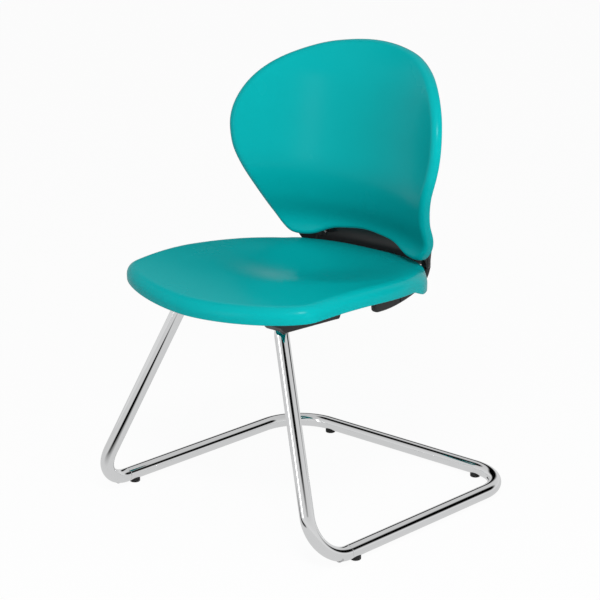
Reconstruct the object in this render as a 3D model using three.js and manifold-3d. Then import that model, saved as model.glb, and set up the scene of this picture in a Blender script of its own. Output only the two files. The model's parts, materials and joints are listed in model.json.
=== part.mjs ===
// Sled base visitor chair: two moulded shells on a bent chrome tube base,
// with a back that tilts on two hinges behind the seat.
// Millimetres, +Z up, the sitter faces -Y and +X is the sitter's left.
// The origin is on the floor under the middle of the chair.
import * as THREE from 'three';
import { mergeVertices } from 'three/addons/utils/BufferGeometryUtils.js';
import Module from 'manifold-3d';

const wasm = await Module();
wasm.setup();

// Fits
const touch = 0.3; // gap between pieces that touch
const screwClearance = 0.25; // gap round a screw or bolt in its hole
const runningClearance = 0.06; // gap round a pin that turns
const overrun = 2; // how far a cutter passes the face that it cuts

// Chrome tube base
const tubeDiameter = 25.4;
const tubeWall = 2;
const glideHeight = 5.6; // floor to the underside of the tube
const trackWidth = 543; // between the centre lines of the two runners
const frontCornerY = -268; // where leg and runner centre lines would cross
const rearBarY = 282;
const floorBendRadius = 68;
const rearBendRadius = 90;
const seatBendRadius = 36;
const railFrontX = 112; // leg and seat rail centre lines would cross here
const railFrontY = -179;
const railFrontDrop = 43; // from the seat's rim height to the front of the rail
const railRearX = 110;
const railRearSetback = 74; // rear end of the rail to the hinge's axis
const railDrop = 10; // fall of the seat rail from front to rear
const tubeJointSetback = 86; // from the front corner to the joint in the runner
const spigotLength = 26; // reduced end of the leg tube inside the runner
const spigotWall = 1.8;
const spigotShoulder = 4;

// Cross bars between the seat rails
const crossBarDiameter = 19;
const crossBarWall = 1.5;
const crossBarSetback = 176; // rear cross bar to the hinge's axis
const crossBarSpacing = 45;

// Glides and rail plugs
const glideDiameter = 19;
const glideRise = 4; // how far the cradle climbs the side of the tube
const glideRounding = 2;
const studDiameter = 7;
const studLength = 6;
const frontGlideSetback = 105; // from the front corner
const rearGlideSpacing = 362;
const plugHeadThickness = 3;
const plugHeadRounding = 2;
const plugLength = 16;

// Seat shell
const seatHeight = 438; // rim height level with the origin
const seatRake = 0.068; // fall per millimetre towards the back
const seatHalfWidth = 222;
const seatWidestY = -211;
const seatFrontReach = 84;
const seatRearReach = 415;
const seatFrontRoundness = 1.72; // superellipse powers
const seatRearRoundness = 2.54;
const seatTaperLength = 2300; // the planform widens to double over this length
const seatFrontDrop = 26.6; // how far the front edge falls away
const seatFrontDropStartY = -55;
const seatSideRise = 5.6;
const seatDish = 14;
const seatDishY = 10;
const seatDishHalfWidth = 190;
const seatDishHalfLength = 175;
const seatWall = 5;
const seatRoll = 20; // radius of the rolled lip
const seatRearRoll = 11;
const seatRollChangeY = 60; // where the lip's radius starts to change
const seatRollChangeLength = 90;
const seatLipDepth = 28.3;
const seatRearLipDepth = 25.5;
const seatLobeDepth = 10; // extra depth of the two lobes beside the hinges
const seatLobeRoll = 6; // extra radius of the lip there
const seatLobeBulge = 5; // how far the outline swells there
const seatLobeStartX = 146;
const seatLobeRampX = 34;
const seatLobeStartY = 54;
const seatLobeRampY = 50;
const seatBossDiameter = 15;

// Back shell
const backHalfWidth = 242;
const backHeight = 375.2; // before the rim is rolled
const backBottomDrop = 1.5; // from the hinge's axis to the bottom of the shell
const backRadius = 404; // hollow across the back
const backLumbarSetback = 56; // face of the shell, where it comes furthest forward, to the hinge's axis
const backSweep = 67; // how far the face leans back from there to the top
const backWall = 5;
const backRoll = 13;
const backLowerRoll = 7;
const backRimDepth = 17;
const backLowerRimDepth = 9.5;
const backRollChangeHeight = 70; // the rim grows to full size over this height
const backCornerStartX = 135; // and over this stretch along the bottom of each wing
const backCornerRampX = 25;
const backBossDiameter = 16;
// half of the outline from top centre to bottom centre: shares of half width and of height
const backOutlineShares = [
  [0, 1], [0.244, 0.989], [0.471, 0.959], [0.705, 0.887], [0.873, 0.788], [0.965, 0.685], [1, 0.571],
  [0.973, 0.453], [0.911, 0.352], [0.822, 0.205], [0.775, 0.104], [0.718, 0.046], [0.674, 0.02], [0.627, 0],
  [0.57, -0.005], [0.5, -0.004], [0.444, 0.003], [0.314, 0.034], [0.149, 0.048], [0, 0.055],
];
// centre line of the face from below the shell to its top: shares of height and of sweep
const backProfileShares = [
  [-0.087, 0.25], [0.06, 0.56], [0.197, 0.2], [0.354, 0], [0.521, 0.134], [0.688, 0.287], [0.845, 0.51],
  [0.982, 1],
];

// Back arms, from under the seat to the hinges behind it
const armOuterX = 138;
const armFrontSetback = 146; // front end of the arm to the hinge's axis
const armRearOverhang = 9; // from the hinge's axis to the rear of the arm
const armDrop = 83.7; // from the hinge's axis to the arm's lower edge
const jointRadius = 31; // of the round joint line between arm and yoke, about the hinge's axis
const armPlateThickness = 12;
const armRounding = 4;
const armSeamSetback = 79; // seam to the hinge's axis
const armSeamGap = 2.4;
const tenonLength = 34;
const tenonHeight = 9;
const tenonLift = 7.5; // from the arm's lower edge to the middle of the tenon
const tenonThickness = 5;
// lower edge from the front end to the joint line: shares of the arm's length and of its rise
const armLowerShares = [
  [0, 0.241], [0.01, 0.089], [0.039, 0.021], [0.103, 0], [0.206, 0], [0.31, 0.021], [0.426, 0.066],
  [0.542, 0.131], [0.645, 0.207], [0.755, 0.307], [0.852, 0.44], [0.923, 0.601], [0.968, 0.782],
  [0.994, 0.981], [1, 1.19],
];
// upper edge from the joint line forwards: the same shares
const armUpperShares = [
  [0.913, 1.19], [0.906, 0.886], [0.868, 0.79], [0.813, 0.69], [0.71, 0.61], [0.568, 0.545], [0.31, 0.516],
];

// Hinges
const hingeRise = 7; // axis above the seat's rim height
const hingeSetback = 17.426; // axis behind the seat's rear edge, level with the arm's outer face
const jointGap = 0.6; // width of the round joint line
const tiltStop = 12; // degrees of backward tilt
const pinDiameter = 7;
const pinHeadDiameter = 12;
const pinHeadThickness = 2.2;
const pinBlindWall = 2.4;
const washerDiameter = 12;
const washerThickness = 1;
const torsionBushDiameter = 11.4;
const tongueInnerX = 125.5;
const tongueWidth = 6;
const tongueRadius = 7.4;
const tongueHeadHalf = 5.5;
const tongueHeadHeight = 8.6;
const tongueNeckHalf = 4.6;
const tongueLength = 41; // from the hinge's axis to its root in the arm
const slotClearance = 0.6; // round the tongue
const stopPadHeight = 3.4;
const stopPadFront = 7.4; // from the hinge's axis
const stopPadRear = 5.6;

// Ears of the yoke
const earInnerX = 110;
const earRise = 53; // from the hinge's axis to the ear's top
const earFrontSetback = 26; // ear's front to the hinge's axis
const earRounding = 4;
const earCheekDrop = 12; // from the hinge's axis to the underside of the inner cheek, above the seat's rim
// side outline from the joint line up the front and down the rear: shares of depth and of height
const earOutlineShares = [
  [0.7, -0.1], [0.7, 0], [0.68, 0.119], [0.61, 0.238], [0.44, 0.381], [0.229, 0.548],
  [0.086, 0.714], [0, 0.929], [0.114, 1], [0.514, 0.786], [0.957, 0.571], [1.066, 0.45], [1.071, 0.357],
  [1.029, 0.262], [1, 0.119], [1, -0.1],
];

// Brackets that clamp the arms to the seat rails
const bracketInnerX = 94;
const bracketDrop = 33; // from the seat's rim height to the bracket's top
const bracketClampHeight = 14; // of the clamp beside the tube
const bracketClampSetback = 6; // from each end of the bracket
const boltDiameter = 6;
const boltHeadDiameter = 11;
const boltHeadThickness = 3.2;
const boltDepth = 30;
const boltInset = 18; // from each end of the bracket
const armScrewDiameter = 4;
const armScrewHeadDiameter = 7.4;
const armScrewHeadThickness = 2.4;

// Rail covers and saddles under the seat
const coverOuterX = 140;
const coverInnerX = 94;
const coverFrontY = -206;
const coverNoseLength = 13; // sloping front of the cover
const coverTailLength = 9; // sloping rear of the cover
const coverBarGap = 13; // cover to the middle of the front cross bar
const coverFrontDepth = 16; // below the front of the rail's centre line
const coverRearDepth = 20.4;
const coverNoseDepth = 4;
const coverBevel = 2.5;
const saddleDrop = 22; // from the seat's rim height to the saddle's top
const saddleFrontInset = 10; // from each end of the cover
const saddleRearInset = 4;

// Screws that hold the seat
const seatScrewX = 132.4;
const seatScrewFrontInset = 38; // from each end of the cover
const seatScrewMiddleInset = 30;
const seatScrewRearSetback = 114; // rear screw to the hinge's axis
const seatScrewDiameter = 5;
const seatScrewHeadDiameter = 9.4;
const seatScrewHeadThickness = 3;
const seatScrewBite = 9; // length of thread in the boss
const seatScrewGrip = 6; // material under the head

// Yoke that carries the back shell
const yokeStandoff = 19.5; // from the face of the back shell to the yoke
const yokeWeb = 9;
const yokeSeatClearance = 9; // behind the rear edge of the seat
const yokeFlareDrop = 21; // below the hinge's axis the web follows the seat's rear edge
const yokeFlareRise = 29; // above it the web follows the back shell
const yokeCentreRise = 45;
const yokeEdgeRounding = 2.5;
const backScrewX = 74;
const backScrewRise = 111; // above the hinge's axis
const backLowerScrewX = 100;
const backLowerScrewRise = 55;
const backScrewDiameter = 4.5;
const backScrewHeadDiameter = 9;
const backScrewHeadThickness = 2.8;
const backScrewBite = 9;
const spotFaceDepth = 3;
const yokeDrop = 27; // from the hinge's axis to the web's bottom
const yokeRise = 149; // from the hinge's axis to the web's top
const yokeHalfWidth = 157;
// half of the web's outline from top centre to bottom centre: shares of half width and of height
const yokeOutlineShares = [
  [0, 1], [0.153, 0.991], [0.305, 0.955], [0.459, 0.881], [0.586, 0.761], [0.681, 0.614], [0.764, 0.466],
  [0.84, 0.35], [0.93, 0.25], [0.985, 0.18], [1, 0.14], [1, 0.1], [0.965, 0.02], [0.94, 0], [0.79, 0],
  [0.6, 0], [0.38, 0], [0.19, 0], [0, 0],
];

// Facets
const tubeSides = 16;
const boreSides = 12;
const stopsPerBend = 5;
const smallSides = 12;
const screwSides = 8;
const seatSides = 48;
const jointSides = 48;
const samplesPerSpan = 2;
const faceRings = 4;
const yokeRings = 3;
const rollSteps = 3;
const halvings = 24; // steps of a search by halves
const settlings = 16; // steps of a value that settles
const probe = 0.5; // step for measuring a slope
const weldDistance = 0.0001;

// Places that follow from the sizes
const tubeRadius = tubeDiameter / 2;
const boreRadius = tubeRadius - tubeWall;
const tubeZ = glideHeight + tubeRadius;
const runnerX = trackWidth / 2;
const hingeY = seatRearEdge(armOuterX) + hingeSetback;
const hingeZ = seatHeight + hingeRise;
const railRearY = hingeY - railRearSetback;
const railFrontZ = seatHeight - railFrontDrop;
const railRearZ = railFrontZ - railDrop;
const rearCrossBarY = hingeY - crossBarSetback;
const frontCrossBarY = rearCrossBarY - crossBarSpacing;
const coverRearY = frontCrossBarY - coverBarGap;
const coverBottomFrontY = coverFrontY + coverNoseLength;
const coverBottomRearY = coverRearY - coverTailLength;
const coverNoseZ = railFrontZ - coverNoseDepth;
const coverBottomFrontZ = railFrontZ - coverFrontDepth;
const coverBottomRearZ = railFrontZ - coverRearDepth;
const saddleFrontY = coverFrontY + saddleFrontInset;
const saddleRearY = coverRearY - saddleRearInset;
const saddleTopZ = seatHeight - saddleDrop;
const seatScrewFrontY = coverFrontY + seatScrewFrontInset;
const seatScrewMiddleY = coverRearY - seatScrewMiddleInset;
const seatScrewRearY = hingeY - seatScrewRearSetback;
const armFrontY = hingeY - armFrontSetback;
const armRearY = hingeY + armRearOverhang;
const armSeamY = hingeY - armSeamSetback;
const armLowZ = hingeZ - armDrop;
const splitZ = hingeZ - jointRadius;
const bracketTopZ = seatHeight - bracketDrop;
const bracketClampZ = bracketTopZ - bracketClampHeight;
const tongueRootZ = hingeZ - tongueLength;
const earFrontY = hingeY - earFrontSetback;
const earTopZ = hingeZ + earRise;
const earCheekZ = hingeZ - earCheekDrop;
const backLumbarY = hingeY - backLumbarSetback;
const backBottom = hingeZ - backBottomDrop;
const backScrewZ = hingeZ + backScrewRise;
const backLowerScrewZ = hingeZ + backLowerScrewRise;
const yokeBottomZ = hingeZ - yokeDrop;
const yokeTopZ = hingeZ + yokeRise;
const yokeCentreZ = hingeZ + yokeCentreRise;
const yokeFlareBottomZ = hingeZ - yokeFlareDrop;
const yokeFlareTopZ = hingeZ + yokeFlareRise;

const chrome = new THREE.MeshStandardMaterial({ color: 0xd9dbdc, roughness: 0.08, metalness: 1 });
const teal = new THREE.MeshStandardMaterial({ color: 0x14a3a5, roughness: 0.38, metalness: 0 });
const black = new THREE.MeshStandardMaterial({ color: 0x2b2b2d, roughness: 0.5, metalness: 0 });
const rubber = new THREE.MeshStandardMaterial({ color: 0x1b1b1c, roughness: 0.8, metalness: 0 });
const steel = new THREE.MeshStandardMaterial({ color: 0xa7a9ab, roughness: 0.35, metalness: 1 });
const nylon = new THREE.MeshStandardMaterial({ color: 0xd8d6cf, roughness: 0.5, metalness: 0 });

const chair = new THREE.Group();

function add(name, geometry, material) {
  const mesh = new THREE.Mesh(geometry, material);
  mesh.name = name;
  chair.add(mesh);
}

// Booleans
function bare(geometry) {
  const copy = geometry.clone();
  copy.deleteAttribute('normal');
  copy.deleteAttribute('uv');
  return mergeVertices(copy, weldDistance);
}

function solid(geometry) {
  const merged = bare(geometry);
  const mesh = new wasm.Mesh({
    numProp: 3,
    vertProperties: new Float32Array(merged.attributes.position.array),
    triVerts: new Uint32Array(merged.index.array),
  });
  return new wasm.Manifold(mesh);
}

function geometryOf(body) {
  const mesh = body.getMesh();
  const geometry = new THREE.BufferGeometry();
  geometry.setAttribute('position', new THREE.BufferAttribute(new Float32Array(mesh.vertProperties), 3));
  geometry.setIndex(new THREE.BufferAttribute(new Uint32Array(mesh.triVerts), 1));
  geometry.computeVertexNormals();
  return geometry;
}

function joined(...geometries) {
  return geometryOf(geometries.map(solid).reduce((a, b) => a.add(b)));
}

function cut(geometry, ...cutters) {
  return geometryOf(cutters.map(solid).reduce((a, b) => a.subtract(b), solid(geometry)));
}

function mirrored(geometry) {
  const copy = bare(geometry);
  copy.applyMatrix4(new THREE.Matrix4().makeScale(-1, 1, 1));
  const index = copy.index.array;
  for (let i = 0; i < index.length; i += 3) {
    [index[i], index[i + 1]] = [index[i + 1], index[i]];
  }
  copy.computeVertexNormals();
  return copy;
}

function addPair(name, geometry, material) {
  add(`${name}_left`, geometry, material);
  add(`${name}_right`, mirrored(geometry), material);
}

// Simple bodies
function rod(from, to, radius, sides = smallSides, endRadius = radius) {
  const axis = to.clone().sub(from);
  const geometry = new THREE.CylinderGeometry(endRadius, radius, axis.length(), sides);
  geometry.translate(0, axis.length() / 2, 0);
  const turn = new THREE.Quaternion().setFromUnitVectors(new THREE.Vector3(0, 1, 0), axis.normalize());
  geometry.applyQuaternion(turn);
  geometry.translate(from.x, from.y, from.z);
  return geometry;
}

function along(axis, x, y, z, length) {
  const from = new THREE.Vector3(x, y, z);
  const step = new THREE.Vector3(...axis).multiplyScalar(length);
  return [from, from.clone().add(step)];
}

function block(low, high) {
  const geometry = new THREE.BoxGeometry(high[0] - low[0], high[1] - low[1], high[2] - low[2]);
  geometry.translate((low[0] + high[0]) / 2, (low[1] + high[1]) / 2, (low[2] + high[2]) / 2);
  return geometry;
}

function circle(radius, sides) {
  return Array.from({ length: sides }, (_, i) => {
    const angle = (2 * Math.PI * i) / sides;
    return new THREE.Vector2(radius * Math.cos(angle), radius * Math.sin(angle));
  });
}

// A plate with its side outline in Y and Z, between two values of X, with rounded edges
function sidePlate(points, lowX, highX, bevel, bevelSteps = 2) {
  const shape = new THREE.Shape(points.map(([y, z]) => new THREE.Vector2(y, z)));
  const geometry = new THREE.ExtrudeGeometry(shape, {
    depth: highX - lowX - 2 * bevel,
    bevelEnabled: bevel > 0,
    bevelThickness: bevel,
    bevelSize: bevel,
    bevelOffset: -bevel,
    bevelSegments: bevelSteps,
  });
  geometry.translate(0, 0, lowX + bevel);
  // the plate's local x, y, z become Y, Z, X
  geometry.applyMatrix4(new THREE.Matrix4().set(0, 0, 1, 0, 1, 0, 0, 0, 0, 1, 0, 0, 0, 0, 0, 1));
  return geometry;
}

// A centre line of straight lengths and round bends, with stops only where the tube turns
class BentLine extends THREE.Curve {
  constructor(corners, radii) {
    super();
    this.stops = [corners[0]];
    this.headings = [corners[1].clone().sub(corners[0]).normalize()];
    for (let i = 1; i < corners.length - 1; i += 1) {
      this.addBend(corners[i - 1], corners[i], corners[i + 1], radii[i - 1]);
    }
    const last = corners.length - 1;
    this.stops.push(corners[last]);
    this.headings.push(corners[last].clone().sub(corners[last - 1]).normalize());
  }

  addBend(before, corner, after, radius) {
    const arriving = corner.clone().sub(before).normalize();
    const leaving = after.clone().sub(corner).normalize();
    const turn = arriving.angleTo(leaving);
    const setback = radius * Math.tan(turn / 2);
    const start = corner.clone().addScaledVector(arriving, -setback);
    const inward = leaving.clone().addScaledVector(arriving, -leaving.dot(arriving)).normalize();
    for (let i = 0; i <= stopsPerBend; i += 1) {
      const angle = (turn * i) / stopsPerBend;
      const stop = start.clone()
        .addScaledVector(arriving, radius * Math.sin(angle))
        .addScaledVector(inward, radius * (1 - Math.cos(angle)));
      const heading = arriving.clone().multiplyScalar(Math.cos(angle))
        .addScaledVector(inward, Math.sin(angle));
      this.stops.push(stop);
      this.headings.push(heading);
    }
  }

  get steps() {
    return this.stops.length - 1;
  }

  getSpacedPoints() {
    return this.stops.map((stop) => stop.clone());
  }

  getTangentAt(u, target = new THREE.Vector3()) {
    return target.copy(this.headings[Math.round(u * this.steps)]);
  }
}

function tube(line, radius, bore, sides = tubeSides) {
  const shape = new THREE.Shape(circle(radius, sides));
  if (bore > 0) {
    shape.holes.push(new THREE.Path(circle(bore, boreSides).reverse()));
  }
  return new THREE.ExtrudeGeometry(shape, { steps: line.steps, extrudePath: line });
}

// Rings of points between two poles, as one closed body
function ringBody(rings, firstPole, lastPole) {
  const count = rings[0].length;
  const points = [firstPole, ...rings.flat(), lastPole];
  const index = [];
  const at = (ring, i) => 1 + ring * count + (i % count);
  for (let i = 0; i < count; i += 1) {
    index.push(0, at(0, i), at(0, i + 1));
    for (let ring = 0; ring < rings.length - 1; ring += 1) {
      index.push(at(ring, i), at(ring + 1, i), at(ring + 1, i + 1));
      index.push(at(ring, i), at(ring + 1, i + 1), at(ring, i + 1));
    }
    index.push(points.length - 1, at(rings.length - 1, i + 1), at(rings.length - 1, i));
  }
  const geometry = new THREE.BufferGeometry().setFromPoints(points);
  geometry.setIndex(index);
  geometry.computeVertexNormals();
  return geometry;
}

function smoothStep(value) {
  const t = THREE.MathUtils.clamp(value, 0, 1);
  return t * t * (3 - 2 * t);
}

// A value that runs smoothly through a list of places and values
function smoothThrough(pairs) {
  const points = pairs.map(([place, value]) => new THREE.Vector2(place, value));
  const curve = new THREE.SplineCurve(points);
  return (place) => {
    let low = 0;
    let high = 1;
    for (let i = 0; i < halvings; i += 1) {
      const middle = (low + high) / 2;
      if (curve.getPoint(middle).x < place) {
        low = middle;
      } else {
        high = middle;
      }
    }
    return curve.getPoint(low).y;
  };
}

// Outline normals, pointing out of an outline that runs counter-clockwise
function outwardAt(outline, i) {
  const before = outline[(i + outline.length - 1) % outline.length];
  const after = outline[(i + 1) % outline.length];
  const run = after.clone().sub(before).normalize();
  return new THREE.Vector2(run.y, -run.x);
}

// A moulded shell: a face that follows surface(u, v), a rim rolled away from it, and the same wall inside
function mouldedShell({ outline, centre, surface, hidden, wall, rollAt, skirtAt }) {
  const place = (p) => surface(p.x, p.y);
  const normalAt = (p) => {
    const here = place(p);
    const alongU = place(new THREE.Vector2(p.x + probe, p.y)).sub(here);
    const alongV = place(new THREE.Vector2(p.x, p.y + probe)).sub(here);
    const normal = alongU.cross(alongV).normalize();
    return normal.dot(hidden) < 0 ? normal.negate() : normal;
  };
  const rims = outline.map((p, i) => {
    const outward = outwardAt(outline, i);
    const roll = rollAt(p);
    const edge = p.clone().addScaledVector(outward, -roll);
    const start = place(edge);
    const normal = normalAt(edge);
    const away = place(edge.clone().addScaledVector(outward, probe)).sub(start).normalize();
    return { edge, start, normal, away, roll, skirt: skirtAt(p) };
  });
  const face = (depth) => Array.from({ length: faceRings }, (_, k) => rims.map(({ edge }) => {
    const p = edge.clone().sub(centre).multiplyScalar((k + 1) / faceRings).add(centre);
    return place(p).addScaledVector(normalAt(p), depth);
  }));
  const rolledRing = (angle, inset) => rims.map(({ start, normal, away, roll }) => start.clone()
    .addScaledVector(normal, roll - (roll - inset) * Math.cos(angle))
    .addScaledVector(away, (roll - inset) * Math.sin(angle)));
  const rolled = (inset) => Array.from(
    { length: rollSteps }, (_, k) => rolledRing(((k + 1) / rollSteps) * (Math.PI / 2), inset),
  );
  const skirt = (inset) => rims.map(({ start, normal, away, roll, skirt: depth }) => start.clone()
    .addScaledVector(normal, roll + depth)
    .addScaledVector(away, roll - inset));
  const outside = [...face(0), ...rolled(0), skirt(0)];
  const inside = [...face(wall), ...rolled(wall), skirt(wall)].reverse();
  const pole = place(centre);
  const innerPole = pole.clone().addScaledVector(normalAt(centre), wall);
  return ringBody([...outside, ...inside], pole, innerPole);
}

// Chrome tube base and its glides
const floorJointY = frontCornerY + tubeJointSetback;

function legLine() {
  return new BentLine([
    new THREE.Vector3(runnerX, floorJointY - touch / 2, tubeZ),
    new THREE.Vector3(runnerX, frontCornerY, tubeZ),
    new THREE.Vector3(railFrontX, railFrontY, railFrontZ),
    new THREE.Vector3(railRearX, railRearY, railRearZ),
  ], [floorBendRadius, seatBendRadius]);
}

function railPoint(y) {
  const share = (y - railFrontY) / (railRearY - railFrontY);
  return new THREE.Vector3(
    THREE.MathUtils.lerp(railFrontX, railRearX, share), y, THREE.MathUtils.lerp(railFrontZ, railRearZ, share),
  );
}

function glideStud(x, y, clearance) {
  const [from, to] = along([0, 0, 1], x, y, glideHeight / 2, glideHeight / 2 + studLength);
  return rod(from, to, studDiameter / 2 + clearance, screwSides);
}

function addBase() {
  const runnerStart = floorJointY + touch / 2;
  const runners = new BentLine([
    new THREE.Vector3(-runnerX, runnerStart, tubeZ),
    new THREE.Vector3(-runnerX, rearBarY, tubeZ),
    new THREE.Vector3(runnerX, rearBarY, tubeZ),
    new THREE.Vector3(runnerX, runnerStart, tubeZ),
  ], [rearBendRadius, rearBendRadius]);
  const frontGlideY = frontCornerY + frontGlideSetback;
  const glidePlaces = [
    ['glide_front_left', runnerX, frontGlideY],
    ['glide_front_right', -runnerX, frontGlideY],
    ['glide_rear_left', rearGlideSpacing / 2, rearBarY],
    ['glide_rear_right', -rearGlideSpacing / 2, rearBarY],
  ];
  const studHoles = glidePlaces.map(([, x, y]) => glideStud(x, y, screwClearance));
  add('runner_tube', cut(tube(runners, tubeRadius, boreRadius), ...studHoles), chrome);
  const cradle = tube(runners, tubeRadius + touch, 0);
  for (const [name, x, y] of glidePlaces) {
    add(name, joined(cut(glidePad(x, y), cradle), glideStud(x, y, 0)), rubber);
  }
  const boltHoles = bracketBoltPlaces().map(([, y]) => bracketBoltParts(y, screwClearance)[0]);
  const frontStud = glideStud(runnerX, frontGlideY, touch);
  const leg = joined(tube(legLine(), tubeRadius, boreRadius), spigot());
  addPair('leg_tube', cut(leg, frontStud, ...boltHoles), chrome);
}

// The leg tube's reduced end, which fits inside the runner
function spigot() {
  const outer = boreRadius * Math.cos(Math.PI / boreSides) - touch;
  const place = (distance) => new THREE.Vector3(runnerX, floorJointY + distance, tubeZ);
  const length = (from, to) => new BentLine([place(from), place(to)], []);
  const neck = tube(length(-spigotShoulder, spigotLength), outer, outer - spigotWall, boreSides);
  const shoulderRadius = tubeRadius - tubeWall / 2;
  const shoulder = tube(length(-spigotShoulder, -touch / 2), shoulderRadius, outer - spigotWall, boreSides);
  return joined(neck, shoulder);
}

function glidePad(x, y) {
  const radius = glideDiameter / 2;
  const profile = [
    new THREE.Vector2(0, 0),
    new THREE.Vector2(radius - glideRounding, 0),
    new THREE.Vector2(radius, glideRounding),
    new THREE.Vector2(radius, glideHeight + glideRise),
    new THREE.Vector2(0, glideHeight + glideRise),
  ];
  const pad = new THREE.LatheGeometry(profile, smallSides);
  pad.rotateX(Math.PI / 2);
  pad.translate(x, y, 0);
  return pad;
}

function addCrossBars() {
  const bars = [['cross_bar_front', frontCrossBarY], ['cross_bar_rear', rearCrossBarY]];
  for (const [name, y] of bars) {
    const centre = railPoint(y);
    const reach = centre.x;
    const line = new BentLine([
      new THREE.Vector3(-reach, y, centre.z), new THREE.Vector3(reach, y, centre.z),
    ], []);
    const bar = tube(line, crossBarDiameter / 2, crossBarDiameter / 2 - crossBarWall, boreSides);
    const rail = rod(railPoint(y - tubeDiameter), railPoint(y + tubeDiameter), tubeRadius + touch, tubeSides);
    add(name, cut(bar, rail, mirrored(rail)), chrome);
  }
}

function addRailPlugs() {
  const end = railPoint(railRearY);
  const heading = end.clone().sub(railPoint(railFrontY)).normalize();
  const behindEnd = (distance) => end.clone().addScaledVector(heading, distance);
  const headEnd = behindEnd(touch + plugHeadThickness);
  const head = rod(behindEnd(touch), headEnd, tubeRadius, tubeSides, tubeRadius - plugHeadRounding);
  const stemRadius = boreRadius * Math.cos(Math.PI / boreSides) - touch;
  const stem = rod(behindEnd(-plugLength), behindEnd(touch + plugHeadThickness / 2), stemRadius, smallSides);
  addPair('rail_plug', joined(head, stem), black);
}

// Seat shell
function seatPlanform() {
  const points = [];
  for (let i = 0; i < seatSides; i += 1) {
    const angle = (2 * Math.PI * i) / seatSides;
    const front = Math.sin(angle) < 0;
    const power = 2 / (front ? seatFrontRoundness : seatRearRoundness);
    const reach = front ? seatFrontReach : seatRearReach;
    const y = seatWidestY + reach * Math.sign(Math.sin(angle)) * Math.abs(Math.sin(angle)) ** power;
    const x = seatHalfWidth * Math.sign(Math.cos(angle)) * Math.abs(Math.cos(angle)) ** power;
    const p = new THREE.Vector2(x * (1 + (y - seatWidestY) / seatTaperLength), y);
    const outward = p.clone().sub(new THREE.Vector2(0, seatDishY)).normalize();
    points.push(p.addScaledVector(outward, seatLobeBulge * seatLobeShare(p)));
  }
  return points;
}

function seatLobeShare(p) {
  return smoothStep((p.y - seatLobeStartY) / seatLobeRampY)
    * smoothStep((Math.abs(p.x) - seatLobeStartX) / seatLobeRampX);
}

// Y of the seat's rear edge, from the same planform
function seatRearEdge(x) {
  let reach = seatRearReach;
  for (let i = 0; i < settlings; i += 1) {
    const halfWidth = seatHalfWidth * (1 + reach / seatTaperLength);
    const share = Math.min(1, Math.abs(x) / halfWidth);
    reach = seatRearReach * (1 - share ** seatRearRoundness) ** (1 / seatRearRoundness);
  }
  return seatWidestY + reach;
}

function seatSurface(x, y) {
  const frontEdgeY = seatWidestY - seatFrontReach;
  const front = Math.max(0, (seatFrontDropStartY - y) / (seatFrontDropStartY - frontEdgeY));
  const side = x / seatHalfWidth;
  const bowl = Math.max(0, 1 - (x / seatDishHalfWidth) ** 2 - ((y - seatDishY) / seatDishHalfLength) ** 2);
  const level = seatHeight - seatRake * y - seatFrontDrop * front * front;
  return new THREE.Vector3(x, y, level + seatSideRise * side * side - seatDish * bowl * bowl);
}

function seatScrewPlaces() {
  return [
    ['front', seatScrewFrontY, coverUnderside(seatScrewFrontY)],
    ['middle', seatScrewMiddleY, coverUnderside(seatScrewMiddleY)],
    ['rear', seatScrewRearY, bracketTopZ - seatScrewGrip - seatScrewHeadThickness],
  ];
}

function coverUnderside(y) {
  const share = (y - coverBottomFrontY) / (coverBottomRearY - coverBottomFrontY);
  return THREE.MathUtils.lerp(coverBottomFrontZ, coverBottomRearZ, share);
}

function seatBossFoot(name) {
  return (name === 'rear' ? bracketTopZ : saddleTopZ) + touch;
}

function addSeat() {
  const rearShare = (p) => smoothStep((p.y - seatRollChangeY) / seatRollChangeLength)
    * smoothStep((seatLobeStartX + seatLobeRampX - Math.abs(p.x)) / seatLobeRampX);
  const plainRollAt = (p) => THREE.MathUtils.lerp(seatRoll, seatRearRoll, rearShare(p));
  const rollAt = (p) => plainRollAt(p) + seatLobeRoll * seatLobeShare(p);
  const lipDepthAt = (p) => THREE.MathUtils.lerp(seatLipDepth, seatRearLipDepth, rearShare(p));
  const shell = mouldedShell({
    outline: seatPlanform(),
    centre: new THREE.Vector2(0, seatDishY + seatWidestY / 2),
    surface: seatSurface,
    hidden: new THREE.Vector3(0, 0, -1),
    wall: seatWall,
    rollAt,
    skirtAt: (p) => lipDepthAt(p) - rollAt(p) + seatLobeDepth * seatLobeShare(p),
  });
  const bosses = [];
  const holes = [];
  for (const [name, y] of seatScrewPlaces()) {
    for (const x of [seatScrewX, -seatScrewX]) {
      const foot = seatBossFoot(name);
      const head = seatSurface(x, y).z - seatWall / 2;
      bosses.push(rod(...along([0, 0, 1], x, y, foot, head - foot), seatBossDiameter / 2));
      const thread = along([0, 0, 1], x, y, foot - overrun, overrun + seatScrewBite + touch);
      holes.push(rod(...thread, seatScrewDiameter / 2 + screwClearance, screwSides));
    }
  }
  add('seat_shell', cut(joined(shell, ...bosses), ...holes), teal);
}

function seatScrewRod(y, low, high, radius) {
  return rod(...along([0, 0, 1], seatScrewX, y, low, high - low), radius, screwSides);
}

function addSeatScrews() {
  for (const [name, y, headFace] of seatScrewPlaces()) {
    const under = name === 'rear' ? headFace : headFace + touch;
    const insideHead = under + seatScrewHeadThickness / 2;
    const tip = seatBossFoot(name) + seatScrewBite;
    const head = seatScrewRod(y, under, under + seatScrewHeadThickness, seatScrewHeadDiameter / 2);
    const shank = seatScrewRod(y, insideHead, tip, seatScrewDiameter / 2);
    addPair(`seat_screw_${name}`, joined(head, shank), steel);
  }
}

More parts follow.
